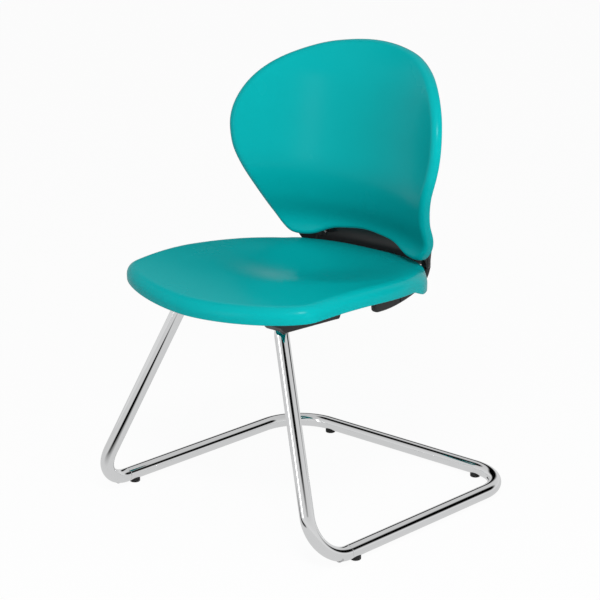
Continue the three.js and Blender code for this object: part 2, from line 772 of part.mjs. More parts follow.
function seatScrewHole(name, y, headFace) {
  const low = coverBottomRearZ - overrun;
  const sinkTop = headFace + seatScrewHeadThickness + (name === 'rear' ? touch : 2 * touch);
  const bore = seatScrewRod(y, low, seatHeight, seatScrewDiameter / 2 + screwClearance);
  const sink = seatScrewRod(y, low, sinkTop, seatScrewHeadDiameter / 2 + screwClearance);
  return [bore, sink];
}

// Rail covers below the seat rails and saddles above them
function addCoversAndSaddles() {
  const rails = tube(legLine(), tubeRadius + touch, 0);
  const splitFront = railPoint(coverFrontY).z;
  const splitRear = railPoint(coverRearY).z;
  const screws = seatScrewPlaces().filter(([name]) => name !== 'rear');
  const holes = screws.flatMap((place) => seatScrewHole(...place));
  const cover = sidePlate([
    [coverFrontY, coverNoseZ], [coverBottomFrontY, coverBottomFrontZ], [coverBottomRearY, coverBottomRearZ],
    [coverRearY, splitRear - touch / 2], [coverFrontY, splitFront - touch / 2],
  ], coverInnerX, coverOuterX, coverBevel);
  addPair('rail_cover', cut(cover, rails, ...holes), black);

  const saddle = sidePlate([
    [saddleFrontY, railPoint(saddleFrontY).z + touch / 2],
    [saddleRearY, railPoint(saddleRearY).z + touch / 2],
    [saddleRearY, saddleTopZ], [saddleFrontY, saddleTopZ],
  ], coverInnerX, coverOuterX - coverBevel, 0);
  addPair('rail_saddle', cut(saddle, rails, ...holes), black);
}

// Brackets, arms and hinges
const armInnerX = armOuterX - armPlateThickness;
const armLength = armRearY - armFrontY;
const armRise = splitZ - armLowZ;
const armPoint = ([along, up]) => [armFrontY + along * armLength, armLowZ + up * armRise];
const armLowerEdge = armLowerShares.map(armPoint);
const armUpperEdge = armUpperShares.map(armPoint);
const tenonZ = armLowerEdge.findLast(([y]) => y < armSeamY)[1] + tenonLift;
const tenonX = armOuterX - armPlateThickness / 2;

function tenonShape(clearance) {
  const halfThickness = tenonThickness / 2 + clearance;
  const halfHeight = tenonHeight / 2 + clearance;
  return block(
    [tenonX - halfThickness, armSeamY - tenonLength - clearance, tenonZ - halfHeight],
    [tenonX + halfThickness, armSeamY + armSeamGap + overrun, tenonZ + halfHeight],
  );
}

function armScrewParts(clearance) {
  const y = armSeamY - tenonLength / 2;
  const face = armInnerX - touch;
  const shankLine = along([1, 0, 0], face, y, tenonZ, armPlateThickness / 2 + tenonThickness / 2 + clearance);
  const headLine = along([-1, 0, 0], face, y, tenonZ, armScrewHeadThickness);
  const shank = rod(...shankLine, armScrewDiameter / 2 + clearance, screwSides);
  const head = rod(...headLine, armScrewHeadDiameter / 2, screwSides);
  return { shank, head };
}

function bracketBoltPlaces() {
  return [['front', armFrontY + boltInset], ['rear', armSeamY - boltInset]];
}

function bracketBoltParts(y, clearance) {
  const z = railPoint(y).z;
  const face = armOuterX - boltHeadThickness;
  const shankLine = along([-1, 0, 0], face + boltHeadThickness / 2, y, z, boltDepth + clearance);
  const headLine = along([1, 0, 0], face - clearance, y, z, boltHeadThickness + clearance * 2);
  const shank = rod(...shankLine, boltDiameter / 2 + clearance, screwSides);
  const head = rod(...headLine, boltHeadDiameter / 2 + clearance, screwSides);
  return [shank, head];
}

function hingeRod(fromX, toX, radius, sides = smallSides) {
  return rod(new THREE.Vector3(fromX, hingeY, hingeZ), new THREE.Vector3(toX, hingeY, hingeZ), radius, sides);
}

function boreFor(radius, sides = smallSides) {
  return radius / Math.cos(Math.PI / sides);
}

// Everything in front of or behind a plane across Y, as a cutter
function beyond(y, direction) {
  const [low, high] = direction > 0 ? [y, armRearY + armLength] : [armFrontY - armLength, y];
  return block(
    [bracketInnerX - overrun, low, armLowZ - armRise],
    [armOuterX + overrun, high, hingeZ + armRise],
  );
}

function addBrackets() {
  const lower = armLowerEdge.filter(([y]) => y < armSeamY + armPlateThickness * 2);
  const rearY = lower[lower.length - 1][0];
  const cheekOutline = [...lower, [rearY, bracketTopZ], [armFrontY, bracketTopZ]];
  const cheek = sidePlate(cheekOutline, armInnerX, armOuterX, armRounding);
  const clamp = block(
    [bracketInnerX, armFrontY + bracketClampSetback, bracketClampZ],
    [armOuterX - armRounding, rearY, bracketTopZ],
  );
  const rail = rod(
    railPoint(armFrontY - tubeDiameter), railPoint(rearY + tubeDiameter), tubeRadius + touch, tubeSides,
  );
  const bolts = bracketBoltPlaces().flatMap(([, y]) => bracketBoltParts(y, screwClearance));
  const seatScrews = seatScrewPlaces().filter(([name]) => name === 'rear');
  const seatHoles = seatScrews.flatMap((place) => seatScrewHole(...place));
  const { shank } = armScrewParts(screwClearance);
  const cutters = [beyond(armSeamY, 1), rail, tenonShape(touch), shank, ...bolts, ...seatHoles];
  addPair('arm_bracket', cut(joined(cheek, clamp), ...cutters), black);
  for (const [name, y] of bracketBoltPlaces()) {
    addPair(`bracket_bolt_${name}`, joined(...bracketBoltParts(y, 0)), steel);
  }
}

function tongue() {
  const outerX = tongueInnerX + tongueWidth;
  const neck = block(
    [tongueInnerX, hingeY - tongueNeckHalf, tongueRootZ], [outerX, hingeY + tongueNeckHalf, hingeZ],
  );
  const head = block(
    [tongueInnerX, hingeY - tongueHeadHalf, hingeZ],
    [outerX, hingeY + tongueHeadHalf, hingeZ + tongueHeadHeight],
  );
  return joined(neck, head, hingeRod(tongueInnerX, outerX, tongueRadius, tubeSides));
}

function addArms() {
  const lower = armLowerEdge.filter(([y]) => y > armSeamY - armPlateThickness * 2);
  const plate = sidePlate([...lower, ...armUpperEdge], armInnerX, armOuterX, armRounding);
  const jointLine = hingeRod(
    armInnerX - overrun, armOuterX + overrun, jointRadius + jointGap / 2, jointSides,
  );
  const tongueOuterX = tongueInnerX + tongueWidth;
  const boreEnds = [tongueInnerX - overrun, tongueOuterX + overrun];
  const bushBore = hingeRod(...boreEnds, boreFor(torsionBushDiameter / 2 + touch));
  const { shank } = armScrewParts(screwClearance);
  const bar = cut(plate, beyond(armSeamY + armSeamGap, -1), jointLine);
  addPair('back_arm', cut(joined(bar, tenonShape(0), tongue()), bushBore, shank), black);
  const screw = armScrewParts(0);
  addPair('arm_screw', joined(screw.shank, screw.head), steel);
  addPair('torsion_bush', cut(
    hingeRod(tongueInnerX, tongueOuterX, torsionBushDiameter / 2),
    hingeRod(...boreEnds, boreFor(pinDiameter / 2 + runningClearance)),
  ), rubber);
}

const slotInnerX = tongueInnerX - washerThickness - 2 * touch;
const slotOuterX = tongueInnerX + tongueWidth + washerThickness + 2 * touch;
const pinEndX = armOuterX - pinBlindWall;

function addHinges() {
  const headFace = earInnerX - touch;
  addPair('pivot_pin', joined(
    hingeRod(headFace, pinEndX, pinDiameter / 2),
    hingeRod(headFace - pinHeadThickness, headFace, pinHeadDiameter / 2),
  ), steel);
  const washer = (fromX) => cut(
    hingeRod(fromX, fromX + washerThickness, washerDiameter / 2),
    hingeRod(fromX - overrun, fromX + washerThickness + overrun, boreFor(pinDiameter / 2 + touch)),
  );
  addPair('pivot_washer_inner', washer(slotInnerX + touch), nylon);
  addPair('pivot_washer_outer', washer(slotOuterX - touch - washerThickness), nylon);

  // the pad's front half lies on the tongue at rest, and its rear half meets it at full tilt
  const low = hingeZ + tongueHeadHeight + touch;
  const high = low + stopPadHeight;
  const slope = Math.tan(THREE.MathUtils.degToRad(tiltStop));
  addPair('stop_pad', sidePlate([
    [hingeY - stopPadFront, low], [hingeY, low], [hingeY + stopPadRear, low + stopPadRear * slope],
    [hingeY + stopPadRear, high], [hingeY - stopPadFront, high],
  ], slotInnerX + touch, slotOuterX - touch, 0), rubber);
}

// Back shell and the yoke behind it
const profileY = smoothThrough(backProfileShares);

function backSurface(x, z) {
  const hollow = backRadius - Math.sqrt(backRadius * backRadius - x * x);
  return new THREE.Vector3(x, backLumbarY + backSweep * profileY((z - backBottom) / backHeight) - hollow, z);
}

// A closed outline that runs counter-clockwise, from half of it given clockwise from the top
function bothHalves(half) {
  const left = half.slice(1, -1).map((p) => new THREE.Vector2(-p.x, p.y)).reverse();
  return [...half, ...left].reverse();
}

function backOutline() {
  const half = backOutlineShares.map(
    ([across, up]) => new THREE.Vector2(across * backHalfWidth, backBottom + up * backHeight),
  );
  const corners = bothHalves(half).map((p) => new THREE.Vector3(p.x, p.y, 0));
  const loop = new THREE.CatmullRomCurve3(corners, true, 'centripetal');
  const count = corners.length * samplesPerSpan;
  const points = Array.from({ length: count }, (_, i) => loop.getPoint(i / count));
  return points.map((p) => new THREE.Vector2(p.x, p.y));
}

function yokeFront(x, z) {
  const behindShell = backSurface(x, z).y + yokeStandoff;
  const behindSeat = seatRearEdge(x) + yokeSeatClearance;
  const share = smoothStep((z - yokeFlareBottomZ) / (yokeFlareTopZ - yokeFlareBottomZ));
  return THREE.MathUtils.lerp(Math.max(behindSeat, behindShell), behindShell, share);
}

function yokePlate() {
  const yokeHeight = yokeTopZ - yokeBottomZ;
  const half = yokeOutlineShares.map(
    ([across, up]) => new THREE.Vector2(across * yokeHalfWidth, yokeBottomZ + up * yokeHeight),
  );
  const outline = bothHalves(half);
  const centre = new THREE.Vector2(0, yokeCentreZ);
  const ring = (inset, share, depth) => outline.map((p, i) => {
    const q = p.clone().addScaledVector(outwardAt(outline, i), -inset);
    q.sub(centre).multiplyScalar(share).add(centre);
    return new THREE.Vector3(q.x, yokeFront(q.x, q.y) + depth, q.y);
  });
  const shares = Array.from({ length: yokeRings }, (_, k) => (k + 1) / (yokeRings + 1));
  const front = [
    ...shares.map((share) => ring(0, share, 0)),
    ring(yokeEdgeRounding, 1, 0),
    ring(0, 1, yokeEdgeRounding),
  ];
  const rear = [
    ring(0, 1, yokeWeb - yokeEdgeRounding),
    ring(yokeEdgeRounding, 1, yokeWeb),
    ...shares.reverse().map((share) => ring(0, share, yokeWeb)),
  ];
  const pole = new THREE.Vector3(0, yokeFront(0, yokeCentreZ), yokeCentreZ);
  return ringBody([...front, ...rear], pole, pole.clone().setY(pole.y + yokeWeb));
}

function yokeEar() {
  const depth = armRearY - earFrontY;
  const height = earTopZ - splitZ;
  const outline = earOutlineShares.map(([back, up]) => [earFrontY + back * depth, splitZ + up * height]);
  const ear = sidePlate(outline, earInnerX, armOuterX, earRounding);
  const low = splitZ - armRise;
  const rearY = armRearY + overrun;
  const underInnerCheek = block([earInnerX - overrun, earFrontY, low], [slotInnerX, rearY, earCheekZ]);
  const belowJoint = cut(
    block([slotInnerX - overrun, earFrontY, low], [armOuterX + overrun, rearY, earCheekZ]),
    hingeRod(slotInnerX - 2 * overrun, armOuterX + 2 * overrun, jointRadius - jointGap / 2, jointSides),
  );
  return cut(ear, underInnerCheek, belowJoint);
}

// Room in the yoke for the arm's tongue over the whole tilt, for its washers and for the pin
function hingeCutters() {
  const slope = Math.tan(THREE.MathUtils.degToRad(tiltStop));
  const down = jointRadius + overrun;
  const front = hingeY - tongueNeckHalf - slotClearance;
  const rear = hingeY + tongueNeckHalf + slotClearance;
  const neckRoom = sidePlate([
    [front, hingeZ - down], [rear + down * slope, hingeZ - down], [rear, hingeZ], [front, hingeZ],
  ], slotInnerX, slotOuterX, 0);
  const headRoom = block(
    [slotInnerX, hingeY - stopPadFront - touch, hingeZ],
    [slotOuterX, hingeY + stopPadRear + touch, hingeZ + tongueHeadHeight + stopPadHeight + 2 * touch],
  );
  const washerRoomRadius = boreFor(tongueRadius + slotClearance, tubeSides);
  const washerRoom = hingeRod(slotInnerX, slotOuterX, washerRoomRadius, tubeSides);
  const pinRoom = hingeRod(earInnerX - overrun, pinEndX + touch, boreFor(pinDiameter / 2 + touch));
  const pinWay = hingeRod(earInnerX - (pinEndX - earInnerX), earInnerX, pinHeadDiameter / 2 + 2 * touch);
  return [neckRoom, headRoom, washerRoom, pinRoom, pinWay];
}

function backScrewPlaces() {
  return [['upper', backScrewX, backScrewZ], ['lower', backLowerScrewX, backLowerScrewZ]];
}

function backBoss(x, z, clearance) {
  const from = backSurface(x, z).y + backWall / 2;
  const to = yokeFront(x, z) + spotFaceDepth;
  const line = along([0, 1, 0], x, from, z, to - from + clearance);
  return rod(...line, backBossDiameter / 2 + clearance, smallSides);
}

function backScrewParts(x, z, clearance) {
  const rear = yokeFront(x, z) + yokeWeb - spotFaceDepth;
  const tip = yokeFront(x, z) + spotFaceDepth - backScrewBite;
  const shankLine = along([0, 1, 0], x, tip - clearance, z, rear - tip + backScrewHeadThickness / 2);
  const headLine = along([0, 1, 0], x, rear + touch, z, backScrewHeadThickness);
  const spotFaceLine = along([0, 1, 0], x, rear, z, yokeWeb);
  return {
    shank: rod(...shankLine, backScrewDiameter / 2 + clearance, screwSides),
    head: rod(...headLine, backScrewHeadDiameter / 2, screwSides),
    spotFace: rod(...spotFaceLine, backScrewHeadDiameter / 2 + 2 * touch, screwSides),
  };
}

function addBack() {
  const rimShare = (p) => smoothStep((p.y - backBottom) / backRollChangeHeight);
  const cornerShare = (p) => smoothStep((Math.abs(p.x) - backCornerStartX) / backCornerRampX);
  const depthShare = (p) => Math.max(rimShare(p), cornerShare(p));
  const rollAt = (p) => THREE.MathUtils.lerp(backLowerRoll, backRoll, rimShare(p));
  const shell = mouldedShell({
    outline: backOutline(),
    centre: new THREE.Vector2(0, backBottom + backHeight / 2),
    surface: backSurface,
    hidden: new THREE.Vector3(0, 1, 0),
    wall: backWall,
    rollAt,
    skirtAt: (p) => THREE.MathUtils.lerp(backLowerRimDepth, backRimDepth, depthShare(p)) - rollAt(p),
  });
  const bosses = [];
  const shellHoles = [];
  const ear = yokeEar();
  const yokeCutters = hingeCutters();
  for (const [name, x, z] of backScrewPlaces()) {
    const screw = backScrewParts(x, z, 0);
    const hole = backScrewParts(x, z, screwClearance);
    addPair(`back_screw_${name}`, joined(screw.shank, screw.head), steel);
    bosses.push(backBoss(x, z, 0), mirrored(backBoss(x, z, 0)));
    shellHoles.push(hole.shank, mirrored(hole.shank));
    yokeCutters.push(backBoss(x, z, touch), hole.shank, hole.spotFace);
  }
  add('back_shell', cut(joined(shell, ...bosses), ...shellHoles), teal);
  const body = joined(yokePlate(), ear, mirrored(ear));
  add('back_yoke', cut(body, ...yokeCutters, ...yokeCutters.map(mirrored)), black);
}

addBase();
addCrossBars();
addRailPlugs();
addCoversAndSaddles();
addBrackets();
addArms();
addHinges();
addSeat();
addSeatScrews();
addBack();

export default chair;
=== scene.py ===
# Sled base visitor chair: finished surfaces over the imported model.
# +Z is up, the sitter faces -Y and +X is the sitter's left.
# Sizes are in millimetres until a mesh is made, and in metres in the studio.
import json
import math

import bmesh
import bpy
import numpy as np
from mathutils import Matrix, Vector


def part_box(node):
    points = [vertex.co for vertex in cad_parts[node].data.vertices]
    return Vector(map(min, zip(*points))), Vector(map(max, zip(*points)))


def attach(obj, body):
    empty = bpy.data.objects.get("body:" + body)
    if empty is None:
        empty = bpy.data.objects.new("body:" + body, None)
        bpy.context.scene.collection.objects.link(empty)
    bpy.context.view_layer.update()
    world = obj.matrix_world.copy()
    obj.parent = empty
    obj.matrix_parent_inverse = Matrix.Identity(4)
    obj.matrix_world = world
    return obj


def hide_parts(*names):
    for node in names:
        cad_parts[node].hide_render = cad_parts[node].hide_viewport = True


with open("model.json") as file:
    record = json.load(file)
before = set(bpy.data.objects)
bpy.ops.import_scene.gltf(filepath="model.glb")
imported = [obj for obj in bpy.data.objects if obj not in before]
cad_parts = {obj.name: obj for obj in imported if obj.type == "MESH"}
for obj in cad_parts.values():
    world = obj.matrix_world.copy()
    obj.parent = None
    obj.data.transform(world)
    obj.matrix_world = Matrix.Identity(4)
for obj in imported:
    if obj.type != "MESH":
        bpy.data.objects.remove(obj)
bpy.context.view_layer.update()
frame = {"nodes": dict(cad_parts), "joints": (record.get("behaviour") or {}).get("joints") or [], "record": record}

MILLIMETRE = 0.001

# Fits
TOUCH = 0.3
SCREW_CLEARANCE = 0.25
OVERRUN = 2.0

# Chrome tube base
TUBE_DIAMETER = 25.4
TUBE_WALL = 2.0
TUBE_RADIUS = TUBE_DIAMETER / 2
BORE_RADIUS = TUBE_RADIUS - TUBE_WALL
GLIDE_HEIGHT = 5.6
TUBE_Z = GLIDE_HEIGHT + TUBE_RADIUS
RUNNER_X = 543 / 2
FRONT_CORNER_Y = -268.0
REAR_BAR_Y = 282.0
FLOOR_BEND_RADIUS = 68.0
REAR_BEND_RADIUS = 90.0
SEAT_BEND_RADIUS = 36.0
TUBE_JOINT_SETBACK = 86.0
SPIGOT_LENGTH = 26.0
SPIGOT_WALL = 1.8
FLOOR_BEND_FLATTENING = 0.16  # loss of depth in the middle of the bend
REAR_BEND_FLATTENING = 0.04
TUBE_END_ROUNDING = 0.5
CROSS_BAR_RADIUS = 9.5
CROSS_BAR_WALL = 1.5
CROSS_BAR_SETBACK = 176.0
CROSS_BAR_SPACING = 45.0
WELD_RADIUS = 1.5
WELD_RIPPLE = 0.25
WELD_RIPPLES = 26

# Glides and rail plugs
GLIDE_RADIUS = 9.5
GLIDE_RISE = 4.0
GLIDE_ROUNDING = 2.0
FRONT_GLIDE_SETBACK = 105.0
REAR_GLIDE_SPACING = 362.0
PLUG_HEAD_THICKNESS = 3.0
PLUG_HEAD_ROUNDING = 2.0
PLUG_LENGTH = 16.0

# Seat shell
SEAT_HEIGHT = 438.0
SEAT_RAKE = 0.068
SEAT_HALF_WIDTH = 222.0
SEAT_WIDEST_Y = -211.0
SEAT_FRONT_REACH = 84.0
SEAT_REAR_REACH = 415.0
SEAT_FRONT_ROUNDNESS = 1.72
SEAT_REAR_ROUNDNESS = 2.54
SEAT_TAPER_LENGTH = 2300.0
SEAT_FRONT_DROP = 26.6
SEAT_FRONT_DROP_START_Y = -55.0
SEAT_SIDE_RISE = 5.6
SEAT_DISH = 14.0
SEAT_DISH_Y = 10.0
SEAT_DISH_HALF_WIDTH = 190.0
SEAT_DISH_HALF_LENGTH = 175.0
SEAT_WALL = 5.0
SEAT_ROLL = 20.0
SEAT_REAR_ROLL = 11.0
SEAT_ROLL_CHANGE_Y = 60.0
SEAT_ROLL_CHANGE_LENGTH = 90.0
SEAT_LIP_DEPTH = 28.3
SEAT_REAR_LIP_DEPTH = 25.5
SEAT_LOBE_DEPTH = 10.0
SEAT_LOBE_ROLL = 6.0
SEAT_LOBE_BULGE = 5.0
SEAT_LOBE_START_X = 146.0
SEAT_LOBE_RAMP_X = 34.0
SEAT_LOBE_START_Y = 54.0
SEAT_LOBE_RAMP_Y = 50.0
SEAT_BOSS_RADIUS = 7.5

# Hinges and back arms
HINGE_Y, HINGE_Z = [value / MILLIMETRE for value in frame["joints"][0]["pos_m"][1:]]
TILT_STOP = max(frame["joints"][0]["range_deg"])
ARM_OUTER_X = 138.0
ARM_THICKNESS = 12.0
ARM_INNER_X = ARM_OUTER_X - ARM_THICKNESS
ARM_ROUNDING = 4.0
ARM_FRONT_Y = HINGE_Y - 146.0
ARM_REAR_Y = HINGE_Y + 9.0
ARM_SEAM_Y = HINGE_Y - 79.0
ARM_SEAM_GAP = 2.4
ARM_LOW_Z = HINGE_Z - 83.7
JOINT_RADIUS = 31.0
JOINT_GAP = 0.6
SPLIT_Z = HINGE_Z - JOINT_RADIUS
TENON_LENGTH = 34.0
TENON_HEIGHT = 9.0
TENON_LIFT = 7.5
TENON_THICKNESS = 5.0
ARM_LOWER_SHARES = [
    (0, 0.241), (0.01, 0.089), (0.039, 0.021), (0.103, 0), (0.206, 0), (0.31, 0.021), (0.426, 0.066),
    (0.542, 0.131), (0.645, 0.207), (0.755, 0.307), (0.852, 0.44), (0.923, 0.601), (0.968, 0.782),
    (0.994, 0.981), (1, 1.19),
]
ARM_UPPER_SHARES = [
    (0.913, 1.19), (0.906, 0.886), (0.868, 0.79), (0.813, 0.69), (0.71, 0.61), (0.568, 0.545), (0.31, 0.516),
]
PIN_RADIUS = 3.5
PIN_BLIND_WALL = 2.4
PIN_HEAD_RADIUS = 6.0
PIN_HEAD_THICKNESS = 2.2
WASHER_THICKNESS = 1.0
BUSH_RADIUS = 5.7
TONGUE_INNER_X = 125.5
TONGUE_WIDTH = 6.0
TONGUE_OUTER_X = TONGUE_INNER_X + TONGUE_WIDTH
TONGUE_RADIUS = 7.4
TONGUE_HEAD_HALF = 5.5
TONGUE_HEAD_HEIGHT = 8.6
TONGUE_NECK_HALF = 4.6
TONGUE_LENGTH = 41.0
SLOT_CLEARANCE = 0.6
SLOT_INNER_X = TONGUE_INNER_X - WASHER_THICKNESS - 2 * TOUCH
SLOT_OUTER_X = TONGUE_OUTER_X + WASHER_THICKNESS + 2 * TOUCH
STOP_PAD_HEIGHT = 3.4
STOP_PAD_FRONT = 7.4
STOP_PAD_REAR = 5.6
EAR_INNER_X = 110.0
EAR_FRONT_Y = HINGE_Y - 26.0
EAR_TOP_Z = HINGE_Z + 53.0
EAR_CHEEK_Z = HINGE_Z - 12.0
EAR_ROUNDING = 4.0
EAR_OUTLINE_SHARES = [
    (0.7, -0.1), (0.7, 0), (0.68, 0.119), (0.61, 0.238), (0.44, 0.381), (0.229, 0.548), (0.086, 0.714),
    (0, 0.929), (0.114, 1), (0.514, 0.786), (0.957, 0.571), (1.066, 0.45), (1.071, 0.357), (1.029, 0.262),
    (1, 0.119), (1, -0.1),
]

# Rails, brackets, covers and saddles
RAIL_FRONT = np.array([112.0, -179.0, SEAT_HEIGHT - 43])
RAIL_REAR = np.array([110.0, HINGE_Y - 74, SEAT_HEIGHT - 53])
BRACKET_INNER_X = 94.0
BRACKET_TOP_Z = SEAT_HEIGHT - 33
BRACKET_CLAMP_HEIGHT = 14.0
BRACKET_CLAMP_SETBACK = 6.0
BRACKET_ROUNDING = 1.2
BOLT_RADIUS = 3.0
BOLT_HEAD_RADIUS = 5.5
BOLT_HEAD_THICKNESS = 3.2
BOLT_DEPTH = 30.0
BOLT_INSET = 18.0
ARM_SCREW_RADIUS = 2.0
ARM_SCREW_HEAD_RADIUS = 3.7
ARM_SCREW_HEAD_THICKNESS = 2.4
COVER_INNER_X = 94.0
COVER_OUTER_X = 140.0
COVER_FRONT_Y = -206.0
COVER_REAR_Y = HINGE_Y - CROSS_BAR_SETBACK - CROSS_BAR_SPACING - 13
COVER_BOTTOM_FRONT_Y = COVER_FRONT_Y + 13
COVER_BOTTOM_REAR_Y = COVER_REAR_Y - 9
COVER_NOSE_Z = RAIL_FRONT[2] - 4
COVER_BOTTOM_FRONT_Z = RAIL_FRONT[2] - 16
COVER_BOTTOM_REAR_Z = RAIL_FRONT[2] - 20.4
COVER_ROUNDING = 2.5
SADDLE_FRONT_Y = COVER_FRONT_Y + 10
SADDLE_REAR_Y = COVER_REAR_Y - 4
SADDLE_TOP_Z = SEAT_HEIGHT - 22
SADDLE_ROUNDING = 1.0

# Seat screws
SEAT_SCREW_X = 132.4
SEAT_SCREW_FRONT_INSET = 38.0
SEAT_SCREW_MIDDLE_INSET = 30.0
SEAT_SCREW_REAR_SETBACK = 114.0
SEAT_SCREW_RADIUS = 2.5
SEAT_SCREW_HEAD_RADIUS = 4.7
SEAT_SCREW_HEAD_THICKNESS = 3.0
SEAT_SCREW_BITE = 9.0
SEAT_SCREW_GRIP = 6.0

# Back shell
BACK_HALF_WIDTH = 242.0
BACK_BOTTOM = HINGE_Z - 1.5
BACK_HEIGHT = 375.2
BACK_RADIUS = 404.0
BACK_LUMBAR_Y = HINGE_Y - 56
BACK_SWEEP = 67.0
BACK_WALL = 5.0
BACK_ROLL = 13.0
BACK_LOWER_ROLL = 7.0
BACK_RIM_DEPTH = 17.0
BACK_LOWER_RIM_DEPTH = 9.5
BACK_ROLL_CHANGE_HEIGHT = 70.0
BACK_CORNER_START_X = 135.0
BACK_CORNER_RAMP_X = 25.0
BACK_BOSS_RADIUS = 8.0
BACK_OUTLINE_SHARES = [
    (0, 1), (0.244, 0.989), (0.471, 0.959), (0.705, 0.887), (0.873, 0.788), (0.965, 0.685), (1, 0.571),
    (0.973, 0.453), (0.911, 0.352), (0.822, 0.205), (0.775, 0.104), (0.718, 0.046), (0.674, 0.02), (0.627, 0),
    (0.57, -0.005), (0.5, -0.004), (0.444, 0.003), (0.314, 0.034), (0.149, 0.048), (0, 0.055),
]
BACK_PROFILE_SHARES = [
    (-0.087, 0.25), (0.06, 0.56), (0.197, 0.2), (0.354, 0), (0.521, 0.134), (0.688, 0.287), (0.845, 0.51),
    (0.982, 1),
]

# Yoke
YOKE_STANDOFF = 19.5
YOKE_WEB = 9.0
YOKE_SEAT_CLEARANCE = 9.0
YOKE_FLARE_BOTTOM_Z = HINGE_Z - 21
YOKE_FLARE_TOP_Z = HINGE_Z + 29
YOKE_CENTRE_Z = HINGE_Z + 45
YOKE_BOTTOM_Z = HINGE_Z - 27
YOKE_TOP_Z = HINGE_Z + 149
YOKE_HALF_WIDTH = 157.0
YOKE_EDGE_ROUNDING = 2.5
YOKE_CREASE_ROUNDING = 5.0
# Over its middle the lower edge hangs 3 mm below the model's, so that no light shows over the seat's rim.
YOKE_OUTLINE_SHARES = [
    (0, 1), (0.153, 0.991), (0.305, 0.955), (0.459, 0.881), (0.586, 0.761), (0.681, 0.614), (0.764, 0.466),
    (0.84, 0.35), (0.93, 0.25), (0.985, 0.18), (1, 0.14), (1, 0.1), (0.965, 0.02), (0.94, 0), (0.8, 0),
    (0.73, -0.012), (0.6, -0.017), (0.38, -0.017), (0.19, -0.017), (0, -0.017),
]
BACK_SCREW_RADIUS = 2.25
BACK_SCREW_HEAD_RADIUS = 4.5
BACK_SCREW_HEAD_THICKNESS = 2.8
BACK_SCREW_BITE = 9.0
BACK_SCREWS = {"upper": (74.0, HINGE_Z + 111), "lower": (100.0, HINGE_Z + 55)}
SPOT_FACE_DEPTH = 3.0

# Fineness of the finished meshes
SHELL_SIDES = 288
SHELL_RINGS = 40
YOKE_SIDES = 240
YOKE_RINGS = 24
ROLL_STEPS = 12
ROUNDING_STEPS = 5
TUBE_SIDES = 64
ROUND_SIDES = 48
OUTLINE_STEP = 1.5
DEGREES_PER_STOP = 3.0
LIP_ROUNDING = 1.4
CHAMFER = LIP_ROUNDING / 3
BOSS_FILLET_SHARE = 0.4
HEAD_DOME_SHARE = 0.45
HEAD_DOME_DEGREES = 60
SHANK_CHAMFER_SHARE = 0.3
SCREW_SOCKET_SHARE = 0.6
ARM_SOCKET_SHARE = 0.7
BOLT_SOCKET_SHARE = 0.75
SOCKET_SIDES = 6
PLATE_ROUNDING_SHARE = 0.5  # of the outline's own radius
PLATE_ROUNDING_REACH = 4
PLATE_ROUNDING_STEPS = 6
PROBE = 0.5
CURVE_SAMPLES = 40
SPLINE_SAMPLES = 400
PROFILE_SAMPLES = 600
SEAT_OVERSAMPLING = 25
SETTLINGS = 16
SMALLEST = 0.001
SHARP_ANGLE = 34.0
YOKE_SHARP_ANGLE = 30.0

# Widths, in steps, of the bell curves that smooth the outlines and the back's profile
PLATE_SOFTENING = 1.0
PLATE_ROUNDING_SOFTENING = 1.5
SEAT_SOFTENING = 1.5
BACK_SOFTENING = 1.2
YOKE_SOFTENING = 1.0
PROFILE_SOFTENING = 14


# Vectors
ALONG_X = np.array([1.0, 0, 0])
ALONG_Y = np.array([0, 1.0, 0])


def unit(vector):
    return vector / np.linalg.norm(vector)


def lerp(low, high, share):
    return low + (high - low) * share


def smooth_step(value):
    t = np.clip(value, 0, 1)
    return t * t * (3 - 2 * t)


def ring_frame(heading):
    """Two directions square to a heading and to each other."""
    reference = ALONG_X if abs(heading[0]) < abs(heading[1]) + abs(heading[2]) else ALONG_Y
    across = unit(reference - heading * (reference @ heading))
    return across, np.cross(heading, across)


# Smooth curves
def cubic(here, after, leaving, arriving, t):
    """Points of a smooth curve from one point to the next, as it leaves the one and arrives at the other."""
    return (
        (2 * here - 2 * after + leaving + arriving) * t**3
        + (-3 * here + 3 * after - 2 * leaving - arriving) * t**2 + leaving * t + here
    )


def spline_table(pairs):
    """Places and values of a smooth curve through the pairs."""
    p = np.array(pairs, float)
    places = []
    values = []
    last = len(p) - 1
    for i in range(last):
        before, here, after, further = p[max(i - 1, 0)], p[i], p[i + 1], p[min(i + 2, last)]
        t = np.linspace(0, 1, SPLINE_SAMPLES // last)[:, None]
        curve = cubic(here, after, (after - before) / 2, (further - here) / 2, t)
        places.extend(curve[:, 0])
        values.extend(curve[:, 1])
    return np.array(places), np.array(values)


def bell(width):
    reach = int(width * 3) + 1
    weights = np.exp(-0.5 * (np.arange(-reach, reach + 1) / width) ** 2)
    return reach, weights / weights.sum()


def blurred(values, width):
    """A row of values smoothed by a bell curve, with its ends held."""
    reach, weights = bell(width)
    padded = np.pad(values, reach, mode="reflect", reflect_type="odd")
    return np.convolve(padded, weights, mode="valid")


def softened(loop, width):
    """A closed loop smoothed by a bell curve, width in steps."""
    reach, weights = bell(width)
    shifts = range(-reach, reach + 1)
    return sum(np.roll(loop, shift, axis=0) * weight for shift, weight in zip(shifts, weights))


def even_steps(loop, samples):
    """A closed loop of points again, in steps of equal length."""
    around = np.vstack([loop, loop[:1]])
    run = np.concatenate([[0], np.cumsum(np.hypot(*np.diff(around, axis=0).T))])
    wanted = np.linspace(0, run[-1], samples, endpoint=False)
    return np.column_stack([np.interp(wanted, run, around[:, k]) for k in range(2)])


